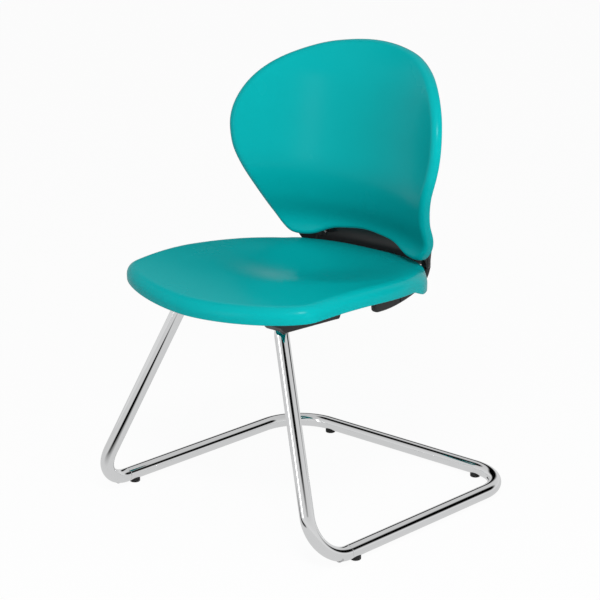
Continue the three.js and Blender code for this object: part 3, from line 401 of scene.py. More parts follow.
def closed_curve(corners, samples):
    """A smooth closed curve through the corners, in steps of equal length."""
    p = np.array(corners, float)
    count = len(p)
    t = np.linspace(0, 1, CURVE_SAMPLES, endpoint=False)[:, None]
    points = []
    for i in range(count):
        a, b, c, d = p[i - 1], p[i], p[(i + 1) % count], p[(i + 2) % count]
        gaps = [max(np.hypot(*(v - u)) ** 0.5, SMALLEST) for u, v in ((a, b), (b, c), (c, d))]
        leaving = ((b - a) / gaps[0] - (c - a) / (gaps[0] + gaps[1]) + (c - b) / gaps[1]) * gaps[1]
        arriving = ((c - b) / gaps[1] - (d - b) / (gaps[1] + gaps[2]) + (d - c) / gaps[2]) * gaps[1]
        points.extend(cubic(b, c, leaving, arriving, t))
    return even_steps(np.array(points), samples)


def open_curve(corners):
    """A smooth curve through the corners, about one point a step."""
    p = np.array(corners, float)
    run = np.concatenate([[0], np.cumsum(np.hypot(*np.diff(p, axis=0).T))])
    columns = [spline_table(list(zip(run, p[:, k]))) for k in range(2)]
    wanted = np.linspace(0, run[-1], max(2, round(run[-1] / OUTLINE_STEP)))
    return np.column_stack([np.interp(wanted, places, values) for places, values in columns])


def outward_of(outline):
    run = np.roll(outline, -1, axis=0) - np.roll(outline, 1, axis=0)
    run /= np.maximum(np.hypot(run[:, 0], run[:, 1]), SMALLEST)[:, None]
    return np.column_stack([run[:, 1], -run[:, 0]])


def counter_clockwise(outline):
    x, y = outline[:, 0], outline[:, 1]
    area = np.sum(x * np.roll(y, -1) - np.roll(x, -1) * y)
    return outline if area > 0 else outline[::-1]


def scaled(shares, first_span, second_span):
    """Points from their shares of two spans."""
    return [(lerp(*first_span, first), lerp(*second_span, second)) for first, second in shares]


def both_halves(half):
    """A whole outline, counter-clockwise, from the half of it on +X given from the top down."""
    other = [(-x, z) for x, z in reversed(half[1:-1])]
    return list(reversed(half + other))


# Bodies as points and faces
def ring_faces(ring_count, side_count, closed=False):
    """Quads between rings of points that lie one after the other."""
    faces = []
    for ring in range(ring_count if closed else ring_count - 1):
        here = ring * side_count
        there = (ring + 1) % ring_count * side_count
        for i in range(side_count):
            j = (i + 1) % side_count
            faces.append((here + i, here + j, there + j, there + i))
    return faces


def points_of(rings):
    return [p for ring in rings for p in ring]


def closed_rings(rings):
    """Rings of which the last joins the first, as round the wall of a tube."""
    return points_of(rings), ring_faces(len(rings), len(rings[0]), closed=True)


def capped_rings(rings):
    """Rings closed by one flat face at each end."""
    count = len(rings[0])
    last = (len(rings) - 1) * count
    caps = [tuple(range(count - 1, -1, -1)), tuple(range(last, last + count))]
    return points_of(rings), ring_faces(len(rings), count) + caps


def poled_rings(rings, first_pole, last_pole):
    """Rings closed by a fan of triangles to a point at each end."""
    count = len(rings[0])
    points = [*points_of(rings), first_pole, last_pole]
    faces = ring_faces(len(rings), count)
    last = (len(rings) - 1) * count
    for i in range(count):
        j = (i + 1) % count
        faces.append((j, i, len(points) - 2))
        faces.append((last + i, last + j, len(points) - 1))
    return points, faces


def block(low, high):
    corners = [(low[0], low[1]), (high[0], low[1]), (high[0], high[1]), (low[0], high[1])]
    return capped_rings([[np.array([x, y, z]) for x, y in corners] for z in (low[2], high[2])])


def full_turn(sides):
    return np.linspace(0, 2 * math.pi, sides, endpoint=False)


def circle_points(centre, heading, radius, sides, facets=0):
    """A circle round a heading, or a regular outline with that many facets, radius to the flats."""
    across, side = ring_frame(heading)
    angles = full_turn(sides)
    if facets:
        sector = 2 * math.pi / facets
        radius = radius / np.cos(angles % sector - sector / 2)
    return centre + np.outer(np.cos(angles) * radius, across) + np.outer(np.sin(angles) * radius, side)


def rod(start, end, radius, sides=ROUND_SIDES):
    start = np.array(start, float)
    end = np.array(end, float)
    heading = unit(end - start)
    return capped_rings([circle_points(p, heading, radius, sides) for p in (start, end)])


def turned(profile, centre, axis):
    """A body turned about an axis, from rows of radius, height and maybe facets; its ends lie on the axis."""
    axis = unit(np.array(axis, float))
    centre = np.array(centre, float)
    rings = [
        circle_points(centre + axis * height, axis, radius, ROUND_SIDES, *facets)
        for radius, height, *facets in profile[1:-1]
    ]
    return poled_rings(rings, centre + axis * profile[0][1], centre + axis * profile[-1][1])


def arc(middle, radius, first, last):
    """Points of a round corner, from one angle to another in degrees."""
    return [
        (middle[0] + radius * math.cos(angle), middle[1] + radius * math.sin(angle))
        for angle in np.radians(np.linspace(first, last, ROUNDING_STEPS + 1))
    ]


def plate(outline, low_x, high_x, rounding):
    """A plate with its side outline in Y and Z and rounded edges that tighten where the outline does."""
    outline = counter_clockwise(np.array(outline, float))
    length = np.hypot(*(outline - np.roll(outline, 1, axis=0)).T).sum()
    outline = softened(even_steps(outline, round(length / OUTLINE_STEP)), PLATE_SOFTENING)
    outward = outward_of(outline)
    before = outline - np.roll(outline, 1, axis=0)
    after = np.roll(outline, -1, axis=0) - outline
    crossed = before[:, 0] * after[:, 1] - before[:, 1] * after[:, 0]
    turn = np.arcsin(np.clip(crossed / (np.hypot(*before.T) * np.hypot(*after.T)), -1, 1))
    radius = np.hypot(*after.T) / np.maximum(turn, SMALLEST)
    limit = np.minimum(rounding, radius * PLATE_ROUNDING_SHARE)
    near = range(-PLATE_ROUNDING_REACH, PLATE_ROUNDING_REACH + 1)
    inset = np.minimum.reduce([np.roll(limit, k) for k in near])[:, None]
    inset = softened(inset, PLATE_ROUNDING_SOFTENING)
    rings = []
    for face, sign, first, last in ((low_x, 1, 90, 0), (high_x, -1, 0, 90)):
        for angle in np.radians(np.linspace(first, last, PLATE_ROUNDING_STEPS + 1)):
            p = outline - outward * inset * (1 - math.cos(angle))
            x = face + sign * inset[:, 0] * (1 - math.sin(angle))
            rings.append(np.column_stack([x, p]))
    return capped_rings(rings)


def bent_line(corners, radii):
    """Points, headings, bend normals and bend depths along straight lengths and round bends."""
    corners = [np.array(c, float) for c in corners]
    stops = [(corners[0], unit(corners[1] - corners[0]), None, 0.0)]
    for i, radius in enumerate(radii, 1):
        arriving = unit(corners[i] - corners[i - 1])
        leaving = unit(corners[i + 1] - corners[i])
        turn = math.acos(arriving @ leaving)
        begin = corners[i] - arriving * radius * math.tan(turn / 2)
        inward = unit(leaving - arriving * (leaving @ arriving))
        steps = max(2, round(math.degrees(turn) / DEGREES_PER_STOP))
        for k in range(steps + 1):
            angle = turn * k / steps
            point = begin + arriving * radius * math.sin(angle) + inward * radius * (1 - math.cos(angle))
            heading = arriving * math.cos(angle) + inward * math.sin(angle)
            inside = inward * math.cos(angle) - arriving * math.sin(angle)
            stops.append((point, heading, inside, math.sin(math.pi * k / steps) ** 2))
    stops.append((corners[-1], unit(corners[-1] - corners[-2]), None, 0.0))
    return stops


def rings_along(stops, radius, flattening=0.0):
    """Rings round a bent line; its bends lose a share of their depth on the outer side."""
    across = ring_frame(stops[0][1])[0]
    angles = full_turn(TUBE_SIDES)
    rings = []
    for point, heading, inside, depth in stops:
        across = unit(across - heading * (across @ heading))
        side = np.cross(heading, across)
        circle = np.outer(np.cos(angles), across) + np.outer(np.sin(angles), side)
        if inside is not None:
            reach = circle @ inside
            circle = circle - np.outer(np.where(reach < 0, reach * flattening * depth, 0), inside)
        rings.append(point + circle * radius)
    return rings


def tube(stops, radius, bore, flattening=0.0):
    """A tube with slightly rounded ends."""
    outer = rings_along(stops, radius, flattening)
    ends = []
    for ring, stop, inward in ((outer[0], stops[0], 1), (outer[-1], stops[-1], -1)):
        shrunk = stop[0] + (ring - stop[0]) * (radius - TUBE_END_ROUNDING) / radius
        ends.append((shrunk, ring + stop[1] * inward * TUBE_END_ROUNDING))
    return closed_rings([*ends[0], *outer[1:-1], *reversed(ends[1]), *reversed(rings_along(stops, bore))])


def bent_rod(stops, radius):
    return capped_rings(rings_along(stops, radius))


# Meshes and pieces
def mesh_of(name, points, faces):
    """A closed mesh with its faces pointing out."""
    mesh = bpy.data.meshes.new(name)
    mesh.from_pydata([Vector(p) for p in points], [], faces)
    work = bmesh.new()
    work.from_mesh(mesh)
    bmesh.ops.recalc_face_normals(work, faces=work.faces)
    work.to_mesh(mesh)
    work.free()
    return mesh


def body_of(mesh):
    return [np.array(v.co) for v in mesh.vertices], [tuple(p.vertices) for p in mesh.polygons]


def linked(name, data):
    """A new object in the scene."""
    thing = bpy.data.objects.new(name, data)
    bpy.context.scene.collection.objects.link(thing)
    return thing


def cut(*bodies):
    return [("DIFFERENCE", body) for body in bodies]


def join(*bodies):
    return [("UNION", body) for body in bodies]


def shaped(name, body, steps):
    """A mesh from a body to start from and the steps that cut and join give."""
    start = linked(name, mesh_of(name, *body))
    helpers = []
    for operation, tool in steps:
        helper = linked("helper", mesh_of("helper", *tool))
        change = start.modifiers.new("change", "BOOLEAN")
        change.operation = operation
        change.solver = "EXACT"
        change.object = helper
        helpers.append(helper)
    graph = bpy.context.evaluated_depsgraph_get()
    mesh = bpy.data.meshes.new_from_object(start.evaluated_get(graph))
    mesh.name = name
    for thing in (start, *helpers):
        bpy.data.objects.remove(thing)
    return mesh


def mirror_image(mesh):
    copy = mesh.copy()
    copy.transform(Matrix.Scale(-1, 4, (1, 0, 0)))
    copy.flip_normals()
    return copy


def dress(mesh, material, sharp_angle=SHARP_ANGLE):
    """One material, and smooth shading between the sharp edges."""
    mesh.shade_smooth()
    mesh.set_sharp_from_angle(angle=math.radians(sharp_angle))
    mesh.materials.clear()
    mesh.materials.append(material)


def place(name, mesh, body, slot, replaces=(), material=None, sharp_angle=SHARP_ANGLE):
    """A piece from a mesh in millimetres, in its slot's material unless another is given."""
    mesh.transform(Matrix.Scale(MILLIMETRE, 4))
    dress(mesh, material or MATERIALS[slot], sharp_angle)
    piece = linked(name, mesh)
    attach(piece, body)
    if replaces:
        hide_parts(*replaces)


def place_pair(name, mesh, body, slot, replaced=True, material=None):
    """A piece on the sitter's left and its mirror image on the right."""
    for side, half in (("left", mesh), ("right", mirror_image(mesh))):
        node = f"{name}_{side}"
        place(f"{node}_finished", half, body, slot, [node] if replaced else (), material)


# Materials
NOISE_RANGE = (0.3, 0.7)
BROAD_DETAIL = 3.0
FINE_DETAIL = 2.0
PLASTIC_MOTTLE_SCALE = 9
PLASTIC_BUMP = 0.25
PLASTIC_GLOSS_CHANGES = (-0.02, 0.03)
METAL_BUMP = 0.3
METAL_FINENESS = 12
METAL_GLOSS_SHARES = (0.7, 1.3)


def set_inputs(tree, node, inputs):
    """Each input takes a value, or a link from another node's output."""
    for key, value in inputs.items():
        if isinstance(value, bpy.types.NodeSocket):
            tree.links.new(value, node.inputs[key])
        else:
            node.inputs[key].default_value = value


def outputs_of(tree, kind, inputs):
    """The outputs of a new shader node."""
    node = tree.nodes.new(f"ShaderNode{kind}")
    set_inputs(tree, node, inputs)
    return node.outputs


def mixed(tree, share, first, second):
    """A colour between two."""
    mix = tree.nodes.new("ShaderNodeMix")
    mix.data_type = "RGBA"
    set_inputs(tree, mix, {"Factor": share, "A": first, "B": second})
    return mix.outputs["Result"]


def new_material(name):
    material = bpy.data.materials.new(name)
    material.use_nodes = True
    return material, material.node_tree, material.node_tree.nodes["Principled BSDF"]


def noise(tree, scale, detail):
    """Noise over the object's own coordinates."""
    where = outputs_of(tree, "TexCoord", {})["Object"]
    return outputs_of(tree, "TexNoise", {"Vector": where, "Scale": scale, "Detail": detail})["Fac"]


def spread(tree, value, low, high):
    """Noise taken to a range."""
    start, end = NOISE_RANGE
    inputs = {"Value": value, "From Min": start, "From Max": end, "To Min": low, "To Max": high}
    return outputs_of(tree, "MapRange", inputs)["Result"]


def bump(tree, height, strength, distance):
    return outputs_of(tree, "Bump", {"Height": height, "Strength": strength, "Distance": distance})["Normal"]


def plastic(name, first, second, roughness, grain_scale, grain_depth, specular=0.5):
    """Moulded plastic: slightly uneven colour and gloss over a fine spark-eroded grain."""
    material, tree, shader = new_material(name)
    broad = noise(tree, PLASTIC_MOTTLE_SCALE, BROAD_DETAIL)
    fine = noise(tree, grain_scale, FINE_DETAIL)
    set_inputs(tree, shader, {
        "Base Color": mixed(tree, broad, (*first, 1), (*second, 1)),
        "Roughness": spread(tree, broad, *[roughness + change for change in PLASTIC_GLOSS_CHANGES]),
        "Specular IOR Level": specular,
        "Normal": bump(tree, fine, PLASTIC_BUMP, grain_depth),
    })
    return material


def metal(name, first, second, roughness, scale, grain_depth):
    """Plated metal with slightly uneven colour and gloss, and a fine grain if it has a depth."""
    material, tree, shader = new_material(name)
    broad = noise(tree, scale, BROAD_DETAIL)
    fine = noise(tree, scale * METAL_FINENESS, FINE_DETAIL)
    set_inputs(tree, shader, {
        "Base Color": mixed(tree, broad, (*first, 1), (*second, 1)),
        "Roughness": spread(tree, fine, *[roughness * share for share in METAL_GLOSS_SHARES]),
        "Metallic": 1,
    })
    if grain_depth:
        set_inputs(tree, shader, {"Normal": bump(tree, fine, METAL_BUMP, grain_depth)})
    return material


# Two colours, roughness, features per metre, depth of the grain in metres and maybe a specular level
MATERIALS = {
    "shell": plastic(
        "teal_shell", (0.0008, 0.335, 0.345), (0.0012, 0.355, 0.365), 0.25, 2600, 0.00003, 0.065,
    ),
    "black_plastic": plastic(
        "black_plastic", (0.016, 0.015, 0.016), (0.021, 0.020, 0.021), 0.42, 2200, 0.00008, 0.3,
    ),
    "rubber": plastic("black_rubber", (0.012, 0.012, 0.012), (0.018, 0.018, 0.018), 0.72, 1500, 0.00006, 0.3),
    "nylon": plastic("white_nylon", (0.62, 0.61, 0.57), (0.66, 0.65, 0.61), 0.42, 2000, 0.00003),
    "chrome": metal("polished_chrome", (0.86, 0.865, 0.87), (0.90, 0.905, 0.91), 0.05, 30, 0),
    "fastener_steel": metal("zinc_steel", (0.56, 0.57, 0.58), (0.66, 0.66, 0.66), 0.3, 220, 0.00002),
}
WELD_MATERIAL = metal("chromed_weld", (0.74, 0.745, 0.75), (0.86, 0.865, 0.87), 0.12, 300, 0.00005)
SLOTS = {row["node"]: row["material_slot"] for row in frame["record"]["subparts"]}

for node, piece in frame["nodes"].items():
    dress(piece.data, MATERIALS[SLOTS[node]])


# A moulded shell: a face that follows a surface, a rolled rim and the same wall inside
def moulded_shell(outline, centre, surface, hidden, wall, roll_at, skirt_at):
    def at(p):
        return surface(p[:, 0], p[:, 1])

    def normals(p):
        here = at(p)
        normal = np.cross(at(p + [PROBE, 0]) - here, at(p + [0, PROBE]) - here)
        normal /= np.linalg.norm(normal, axis=1)[:, None]
        return normal * np.sign(normal @ hidden)[:, None]

    outward = outward_of(outline)
    roll = roll_at(outline)[:, None]
    edge = outline - outward * roll
    start = at(edge)
    normal = normals(edge)
    away = at(edge + outward * PROBE) - start
    away /= np.linalg.norm(away, axis=1)[:, None]
    skirt = skirt_at(outline)[:, None]

    def face(depth):
        rings = []
        for k in range(1, SHELL_RINGS + 1):
            p = (edge - centre) * (k / SHELL_RINGS) + centre
            rings.append(at(p) + normals(p) * depth)
        return rings

    def rolled(inset):
        rings = []
        for k in range(1, ROLL_STEPS + 1):
            angle = math.pi / 2 * k / ROLL_STEPS
            radius = roll - inset
            rings.append(start + normal * (roll - radius * math.cos(angle)) + away * radius * math.sin(angle))
        return rings

    def lip():
        """Rounded end of the wall, from its outer side to its inner side."""
        rings = []
        for middle, first in ((roll - LIP_ROUNDING, 0), (roll - wall + LIP_ROUNDING, 90)):
            for angle in np.radians(np.linspace(first, first + 90, ROUNDING_STEPS)):
                rings.append(
                    start + away * (middle + LIP_ROUNDING * math.cos(angle))
                    + normal * (roll + skirt - LIP_ROUNDING * (1 - math.sin(angle)))
                )
        return rings

    rings = [*face(0), *rolled(0), *lip(), *reversed([*face(wall), *rolled(wall)])]
    middle = np.array([centre])
    return poled_rings(rings, at(middle)[0], (at(middle) + normals(middle) * wall)[0])


# Seat shell
def seat_surface(x, y):
    front_edge = SEAT_WIDEST_Y - SEAT_FRONT_REACH
    front = np.maximum(0, (SEAT_FRONT_DROP_START_Y - y) / (SEAT_FRONT_DROP_START_Y - front_edge))
    side = x / SEAT_HALF_WIDTH
    across = x / SEAT_DISH_HALF_WIDTH
    along = (y - SEAT_DISH_Y) / SEAT_DISH_HALF_LENGTH
    bowl = np.maximum(0, 1 - across**2 - along**2)
    level = SEAT_HEIGHT - SEAT_RAKE * y - SEAT_FRONT_DROP * front * front
    return np.column_stack([x, y, level + SEAT_SIDE_RISE * side * side - SEAT_DISH * bowl * bowl])


def seat_lobe(p):
    across = smooth_step((np.abs(p[:, 0]) - SEAT_LOBE_START_X) / SEAT_LOBE_RAMP_X)
    return across * smooth_step((p[:, 1] - SEAT_LOBE_START_Y) / SEAT_LOBE_RAMP_Y)


def seat_rear(p):
    centre = smooth_step((SEAT_LOBE_START_X + SEAT_LOBE_RAMP_X - np.abs(p[:, 0])) / SEAT_LOBE_RAMP_X)
    return centre * smooth_step((p[:, 1] - SEAT_ROLL_CHANGE_Y) / SEAT_ROLL_CHANGE_LENGTH)


def signed_power(value, power):
    return np.sign(value) * np.abs(value) ** power


def seat_outline():
    angle = full_turn(SHELL_SIDES * SEAT_OVERSAMPLING)
    front = np.sin(angle) < 0
    power = 2 / np.where(front, SEAT_FRONT_ROUNDNESS, SEAT_REAR_ROUNDNESS)
    reach = np.where(front, SEAT_FRONT_REACH, SEAT_REAR_REACH)
    y = SEAT_WIDEST_Y + reach * signed_power(np.sin(angle), power)
    x = SEAT_HALF_WIDTH * signed_power(np.cos(angle), power)
    x = x * (1 + (y - SEAT_WIDEST_Y) / SEAT_TAPER_LENGTH)
    p = np.column_stack([x, y])
    outward = p - [0, SEAT_DISH_Y]
    outward /= np.hypot(*outward.T)[:, None]
    p = p + outward * SEAT_LOBE_BULGE * seat_lobe(p)[:, None]
    return softened(even_steps(p, SHELL_SIDES), SEAT_SOFTENING)


def seat_rear_edge(x):
    """Y of the seat's rear edge."""
    reach = np.full_like(x, SEAT_REAR_REACH)
    for _ in range(SETTLINGS):
        share = np.minimum(1, np.abs(x) / (SEAT_HALF_WIDTH * (1 + reach / SEAT_TAPER_LENGTH)))
        reach = SEAT_REAR_REACH * (1 - share**SEAT_REAR_ROUNDNESS) ** (1 / SEAT_REAR_ROUNDNESS)
    return SEAT_WIDEST_Y + reach


def seat_roll(p):
    return lerp(SEAT_ROLL, SEAT_REAR_ROLL, seat_rear(p)) + SEAT_LOBE_ROLL * seat_lobe(p)


def seat_skirt(p):
    depth = lerp(SEAT_LIP_DEPTH, SEAT_REAR_LIP_DEPTH, seat_rear(p))
    return depth - seat_roll(p) + SEAT_LOBE_DEPTH * seat_lobe(p)


def boss(foot, axis, rise_at, wall, radius, screw_radius, screw_bite):
    """A screw boss with a bore, and with a fillet at its root that follows the shell inside its wall."""
    foot = np.array(foot, float)
    axis = np.array(axis, float)
    height = rise_at(foot[None, :])[0]
    root = height + wall / 3
    bore = screw_radius + SCREW_CLEARANCE
    depth = screw_bite + TOUCH
    edge = LIP_ROUNDING / 2
    fillet = radius * BOSS_FILLET_SHARE
    profile = [
        (0, depth), (bore, depth), (bore, CHAMFER), (bore + CHAMFER, 0),
        *arc((radius - edge, edge), edge, -90, 0),
        *arc((radius + fillet, height - fillet), fillet, 180, 90)[:-1],
        (radius + fillet, height), (radius + fillet, root), (radius / 2, root), (0, root),
    ]
    points, faces = turned(profile, foot, axis)
    points = np.array(points)
    share = np.clip(((points - foot) @ axis - height) / (2 * fillet) + 1, 0, 1)
    return points + np.outer(share * (rise_at(points) - height), axis), faces


def seat_screw_places():
    """Name, Y and lower face of the head, from the front."""
    front_y = COVER_FRONT_Y + SEAT_SCREW_FRONT_INSET
    middle_y = COVER_REAR_Y - SEAT_SCREW_MIDDLE_INSET
    rear_y = HINGE_Y - SEAT_SCREW_REAR_SETBACK
    return [
        ("front", front_y, cover_underside(front_y)),
        ("middle", middle_y, cover_underside(middle_y)),
        ("rear", rear_y, BRACKET_TOP_Z - SEAT_SCREW_GRIP - SEAT_SCREW_HEAD_THICKNESS),
    ]


def add_seat():
    body = moulded_shell(
        seat_outline(), np.array([0, SEAT_DISH_Y + SEAT_WIDEST_Y / 2]), seat_surface, np.array([0, 0, -1.0]),
        SEAT_WALL, seat_roll, seat_skirt,
    )
    place("seat_shell_finished", mesh_of("seat_shell", *body), "frame", "shell", ["seat_shell"])
    for name, y, _ in seat_screw_places():
        foot_z = (BRACKET_TOP_Z if name == "rear" else SADDLE_TOP_Z) + TOUCH

        def rise_at(points, foot_z=foot_z):
            return seat_surface(points[:, 0], points[:, 1])[:, 2] - SEAT_WALL - foot_z

        body = boss(
            (SEAT_SCREW_X, y, foot_z), (0, 0, 1), rise_at, SEAT_WALL, SEAT_BOSS_RADIUS, SEAT_SCREW_RADIUS,
            SEAT_SCREW_BITE,
        )
        place_pair(f"seat_boss_{name}", mesh_of("seat_boss", *body), "frame", "shell", replaced=False)


# Back shell
PROFILE_GRID = np.linspace(BACK_PROFILE_SHARES[0][0], BACK_PROFILE_SHARES[-1][0], PROFILE_SAMPLES)
PROFILE = blurred(np.interp(PROFILE_GRID, *spline_table(BACK_PROFILE_SHARES)), PROFILE_SOFTENING)


def back_surface(x, z):
    hollow = BACK_RADIUS - np.sqrt(BACK_RADIUS**2 - x * x)
    lean = np.interp((z - BACK_BOTTOM) / BACK_HEIGHT, PROFILE_GRID, PROFILE)
    return np.column_stack([x, BACK_LUMBAR_Y + BACK_SWEEP * lean - hollow, z])


def back_outline():
    half = [(across * BACK_HALF_WIDTH, BACK_BOTTOM + up * BACK_HEIGHT) for across, up in BACK_OUTLINE_SHARES]
    return softened(closed_curve(both_halves(half), SHELL_SIDES), BACK_SOFTENING)


def back_rim(p):
    return smooth_step((p[:, 1] - BACK_BOTTOM) / BACK_ROLL_CHANGE_HEIGHT)


def back_roll(p):
    return lerp(BACK_LOWER_ROLL, BACK_ROLL, back_rim(p))


def back_skirt(p):
    corner = smooth_step((np.abs(p[:, 0]) - BACK_CORNER_START_X) / BACK_CORNER_RAMP_X)
    return lerp(BACK_LOWER_RIM_DEPTH, BACK_RIM_DEPTH, np.maximum(back_rim(p), corner)) - back_roll(p)


def back_face(x, z):
    return back_surface(np.array([x]), np.array([z]))[0][1]


def add_back():
    body = moulded_shell(
        back_outline(), np.array([0, BACK_BOTTOM + BACK_HEIGHT / 2]), back_surface, np.array([0, 1.0, 0]),
        BACK_WALL, back_roll, back_skirt,
    )
    place("back_shell_finished", mesh_of("back_shell", *body), "back", "shell", ["back_shell"])
    for name, (x, z) in BACK_SCREWS.items():
        foot_y = yoke_face(x, z) + SPOT_FACE_DEPTH

        def rise_at(points, foot_y=foot_y):
            return foot_y - back_surface(points[:, 0], points[:, 2])[:, 1] - BACK_WALL

        body = boss(
            (x, foot_y, z), (0, -1, 0), rise_at, BACK_WALL, BACK_BOSS_RADIUS, BACK_SCREW_RADIUS,
            BACK_SCREW_BITE,
        )
        place_pair(f"back_boss_{name}", mesh_of("back_boss", *body), "back", "shell", replaced=False)


# Chrome tube base
FLOOR_JOINT_Y = FRONT_CORNER_Y + TUBE_JOINT_SETBACK


def leg_line():
    floor_end = (RUNNER_X, FLOOR_JOINT_Y - TOUCH / 2, TUBE_Z)
    corner = (RUNNER_X, FRONT_CORNER_Y, TUBE_Z)
    return bent_line([floor_end, corner, RAIL_FRONT, RAIL_REAR], [FLOOR_BEND_RADIUS, SEAT_BEND_RADIUS])


def rail_point(y):
    return lerp(RAIL_FRONT, RAIL_REAR, (y - RAIL_FRONT[1]) / (RAIL_REAR[1] - RAIL_FRONT[1]))


def add_base():
    start = FLOOR_JOINT_Y + TOUCH / 2
    corners = [(-RUNNER_X, start), (-RUNNER_X, REAR_BAR_Y), (RUNNER_X, REAR_BAR_Y), (RUNNER_X, start)]
    runner = bent_line([(x, y, TUBE_Z) for x, y in corners], [REAR_BEND_RADIUS, REAR_BEND_RADIUS])
    mesh = mesh_of("runner_tube", *tube(runner, TUBE_RADIUS, BORE_RADIUS, REAR_BEND_FLATTENING))
    place("runner_tube_finished", mesh, "frame", "chrome", ["runner_tube"])
    leg = mesh_of("leg_tube", *tube(leg_line(), TUBE_RADIUS, BORE_RADIUS, FLOOR_BEND_FLATTENING))
    place_pair("leg_tube", leg, "frame", "chrome")
    ends = (FLOOR_JOINT_Y - SPIGOT_LENGTH, FLOOR_JOINT_Y + SPIGOT_LENGTH)
    sleeve = bent_line([(RUNNER_X, y, TUBE_Z) for y in ends], [])
    spigot = mesh_of("leg_spigot", *tube(sleeve, BORE_RADIUS - TOUCH, BORE_RADIUS - TOUCH - SPIGOT_WALL))
    place_pair("leg_spigot", spigot, "frame", "chrome", replaced=False, material=MATERIALS["fastener_steel"])


def cope(point):
    """How far out a line along X runs before it meets the seat rail."""
    centre = rail_point(point[1])
    rise = np.clip(point[2] - centre[2], -TUBE_RADIUS, TUBE_RADIUS)
    return centre[0] - math.sqrt(TUBE_RADIUS**2 - rise**2)


def add_cross_bars():
    """Cross bars with their ends coped to the rails, and a rippled weld bead round each end."""
    rear_y = HINGE_Y - CROSS_BAR_SETBACK
    bore = CROSS_BAR_RADIUS - CROSS_BAR_WALL
    for name, y in (("front", rear_y - CROSS_BAR_SPACING), ("rear", rear_y)):
        centre = np.array([0, *rail_point(y)[1:]])
        rings = []
        for radius, sign in ((CROSS_BAR_RADIUS, -1), (CROSS_BAR_RADIUS, 1), (bore, 1), (bore, -1)):
            ring = circle_points(centre, ALONG_X, radius, TUBE_SIDES)
            ring[:, 0] = [sign * cope(p) for p in ring]
            rings.append(ring)
        node = f"cross_bar_{name}"
        place(f"{node}_finished", mesh_of(node, *closed_rings(rings)), "frame", "chrome", [node])
        bead = mesh_of("weld", *weld_bead(centre))
        place_pair(f"{node}_weld", bead, "frame", "chrome", replaced=False, material=WELD_MATERIAL)


def weld_bead(centre):
    count = TUBE_SIDES * 2
    offset = WELD_RADIUS / 4
    path = circle_points(centre, ALONG_X, CROSS_BAR_RADIUS + offset, count)
    path[:, 0] = [cope(p) - offset for p in path]
    angles = full_turn(ROUNDING_STEPS * 2)
    rings = []
    for i, p in enumerate(path):
        heading = unit(path[(i + 1) % count] - path[i - 1])
        outward = unit(p - [p[0], centre[1], centre[2]])
        side = np.cross(heading, outward)
        radius = WELD_RADIUS + WELD_RIPPLE * abs(math.sin(math.pi * WELD_RIPPLES * i / count))
        rings.append(p + radius * (np.outer(np.cos(angles), outward) + np.outer(np.sin(angles), side)))
    return closed_rings(rings)


def add_glides():
    top = GLIDE_HEIGHT + GLIDE_RISE
    profile = [
        (0, 0), *arc((GLIDE_RADIUS - GLIDE_ROUNDING, GLIDE_ROUNDING), GLIDE_ROUNDING, -90, 0),
        (GLIDE_RADIUS, GLIDE_HEIGHT - LIP_ROUNDING), (GLIDE_RADIUS - TOUCH, GLIDE_HEIGHT - LIP_ROUNDING / 2),
        (GLIDE_RADIUS, GLIDE_HEIGHT), *arc((GLIDE_RADIUS - TOUCH, top - TOUCH), TOUCH, 0, 90), (0, top),
    ]
    for row, x, y, heading in (
        ("front", RUNNER_X, FRONT_CORNER_Y + FRONT_GLIDE_SETBACK, (0, 1, 0)),
        ("rear", REAR_GLIDE_SPACING / 2, REAR_BAR_Y, (1, 0, 0)),
    ):
        reach = np.array(heading) * TUBE_DIAMETER
        for side, sign in (("left", 1), ("right", -1)):
            node = f"glide_{row}_{side}"
            centre = np.array([sign * x, y, TUBE_Z])
            groove = rod(centre - reach, centre + reach, TUBE_RADIUS + TOUCH / 3, TUBE_SIDES)
            mesh = shaped(node, turned(profile, (sign * x, y, 0), (0, 0, 1)), cut(groove))
            place(f"{node}_finished", mesh, "frame", "rubber", [node])


def add_rail_plugs():
    stem = BORE_RADIUS - TOUCH
    outer = TOUCH + PLUG_HEAD_THICKNESS
    head_corner = (TUBE_RADIUS - PLUG_HEAD_ROUNDING, outer - PLUG_HEAD_ROUNDING)
    profile = [
        (0, -PLUG_LENGTH), (stem - TOUCH, -PLUG_LENGTH), (stem, -PLUG_LENGTH + TOUCH), (stem, TOUCH),
        (TUBE_RADIUS - TOUCH, TOUCH), (TUBE_RADIUS, 2 * TOUCH),
        *arc(head_corner, PLUG_HEAD_ROUNDING, 0, 90), (0, outer),
    ]
    mesh = mesh_of("rail_plug", *turned(profile, RAIL_REAR, unit(RAIL_REAR - RAIL_FRONT)))
    place_pair("rail_plug", mesh, "frame", "black_plastic")


# Rail covers and saddles
def cover_underside(y):
    share = (y - COVER_BOTTOM_FRONT_Y) / (COVER_BOTTOM_REAR_Y - COVER_BOTTOM_FRONT_Y)
    return lerp(COVER_BOTTOM_FRONT_Z, COVER_BOTTOM_REAR_Z, share)


def seat_screw_holes(*names):
    """Cutters for the seat screws with those names and for their heads."""
    low = COVER_BOTTOM_REAR_Z - OVERRUN
    holes = []
    for name, y, head_face in seat_screw_places():
        if name not in names:
            continue
        sink = head_face + SEAT_SCREW_HEAD_THICKNESS + (TOUCH if name == "rear" else 2 * TOUCH)
        for start, end, radius in (
            (low, SEAT_HEIGHT, SEAT_SCREW_RADIUS), (low - OVERRUN / 2, sink, SEAT_SCREW_HEAD_RADIUS),
        ):
            holes.append(rod((SEAT_SCREW_X, y, start), (SEAT_SCREW_X, y, end), radius + SCREW_CLEARANCE))
    return cut(*holes)


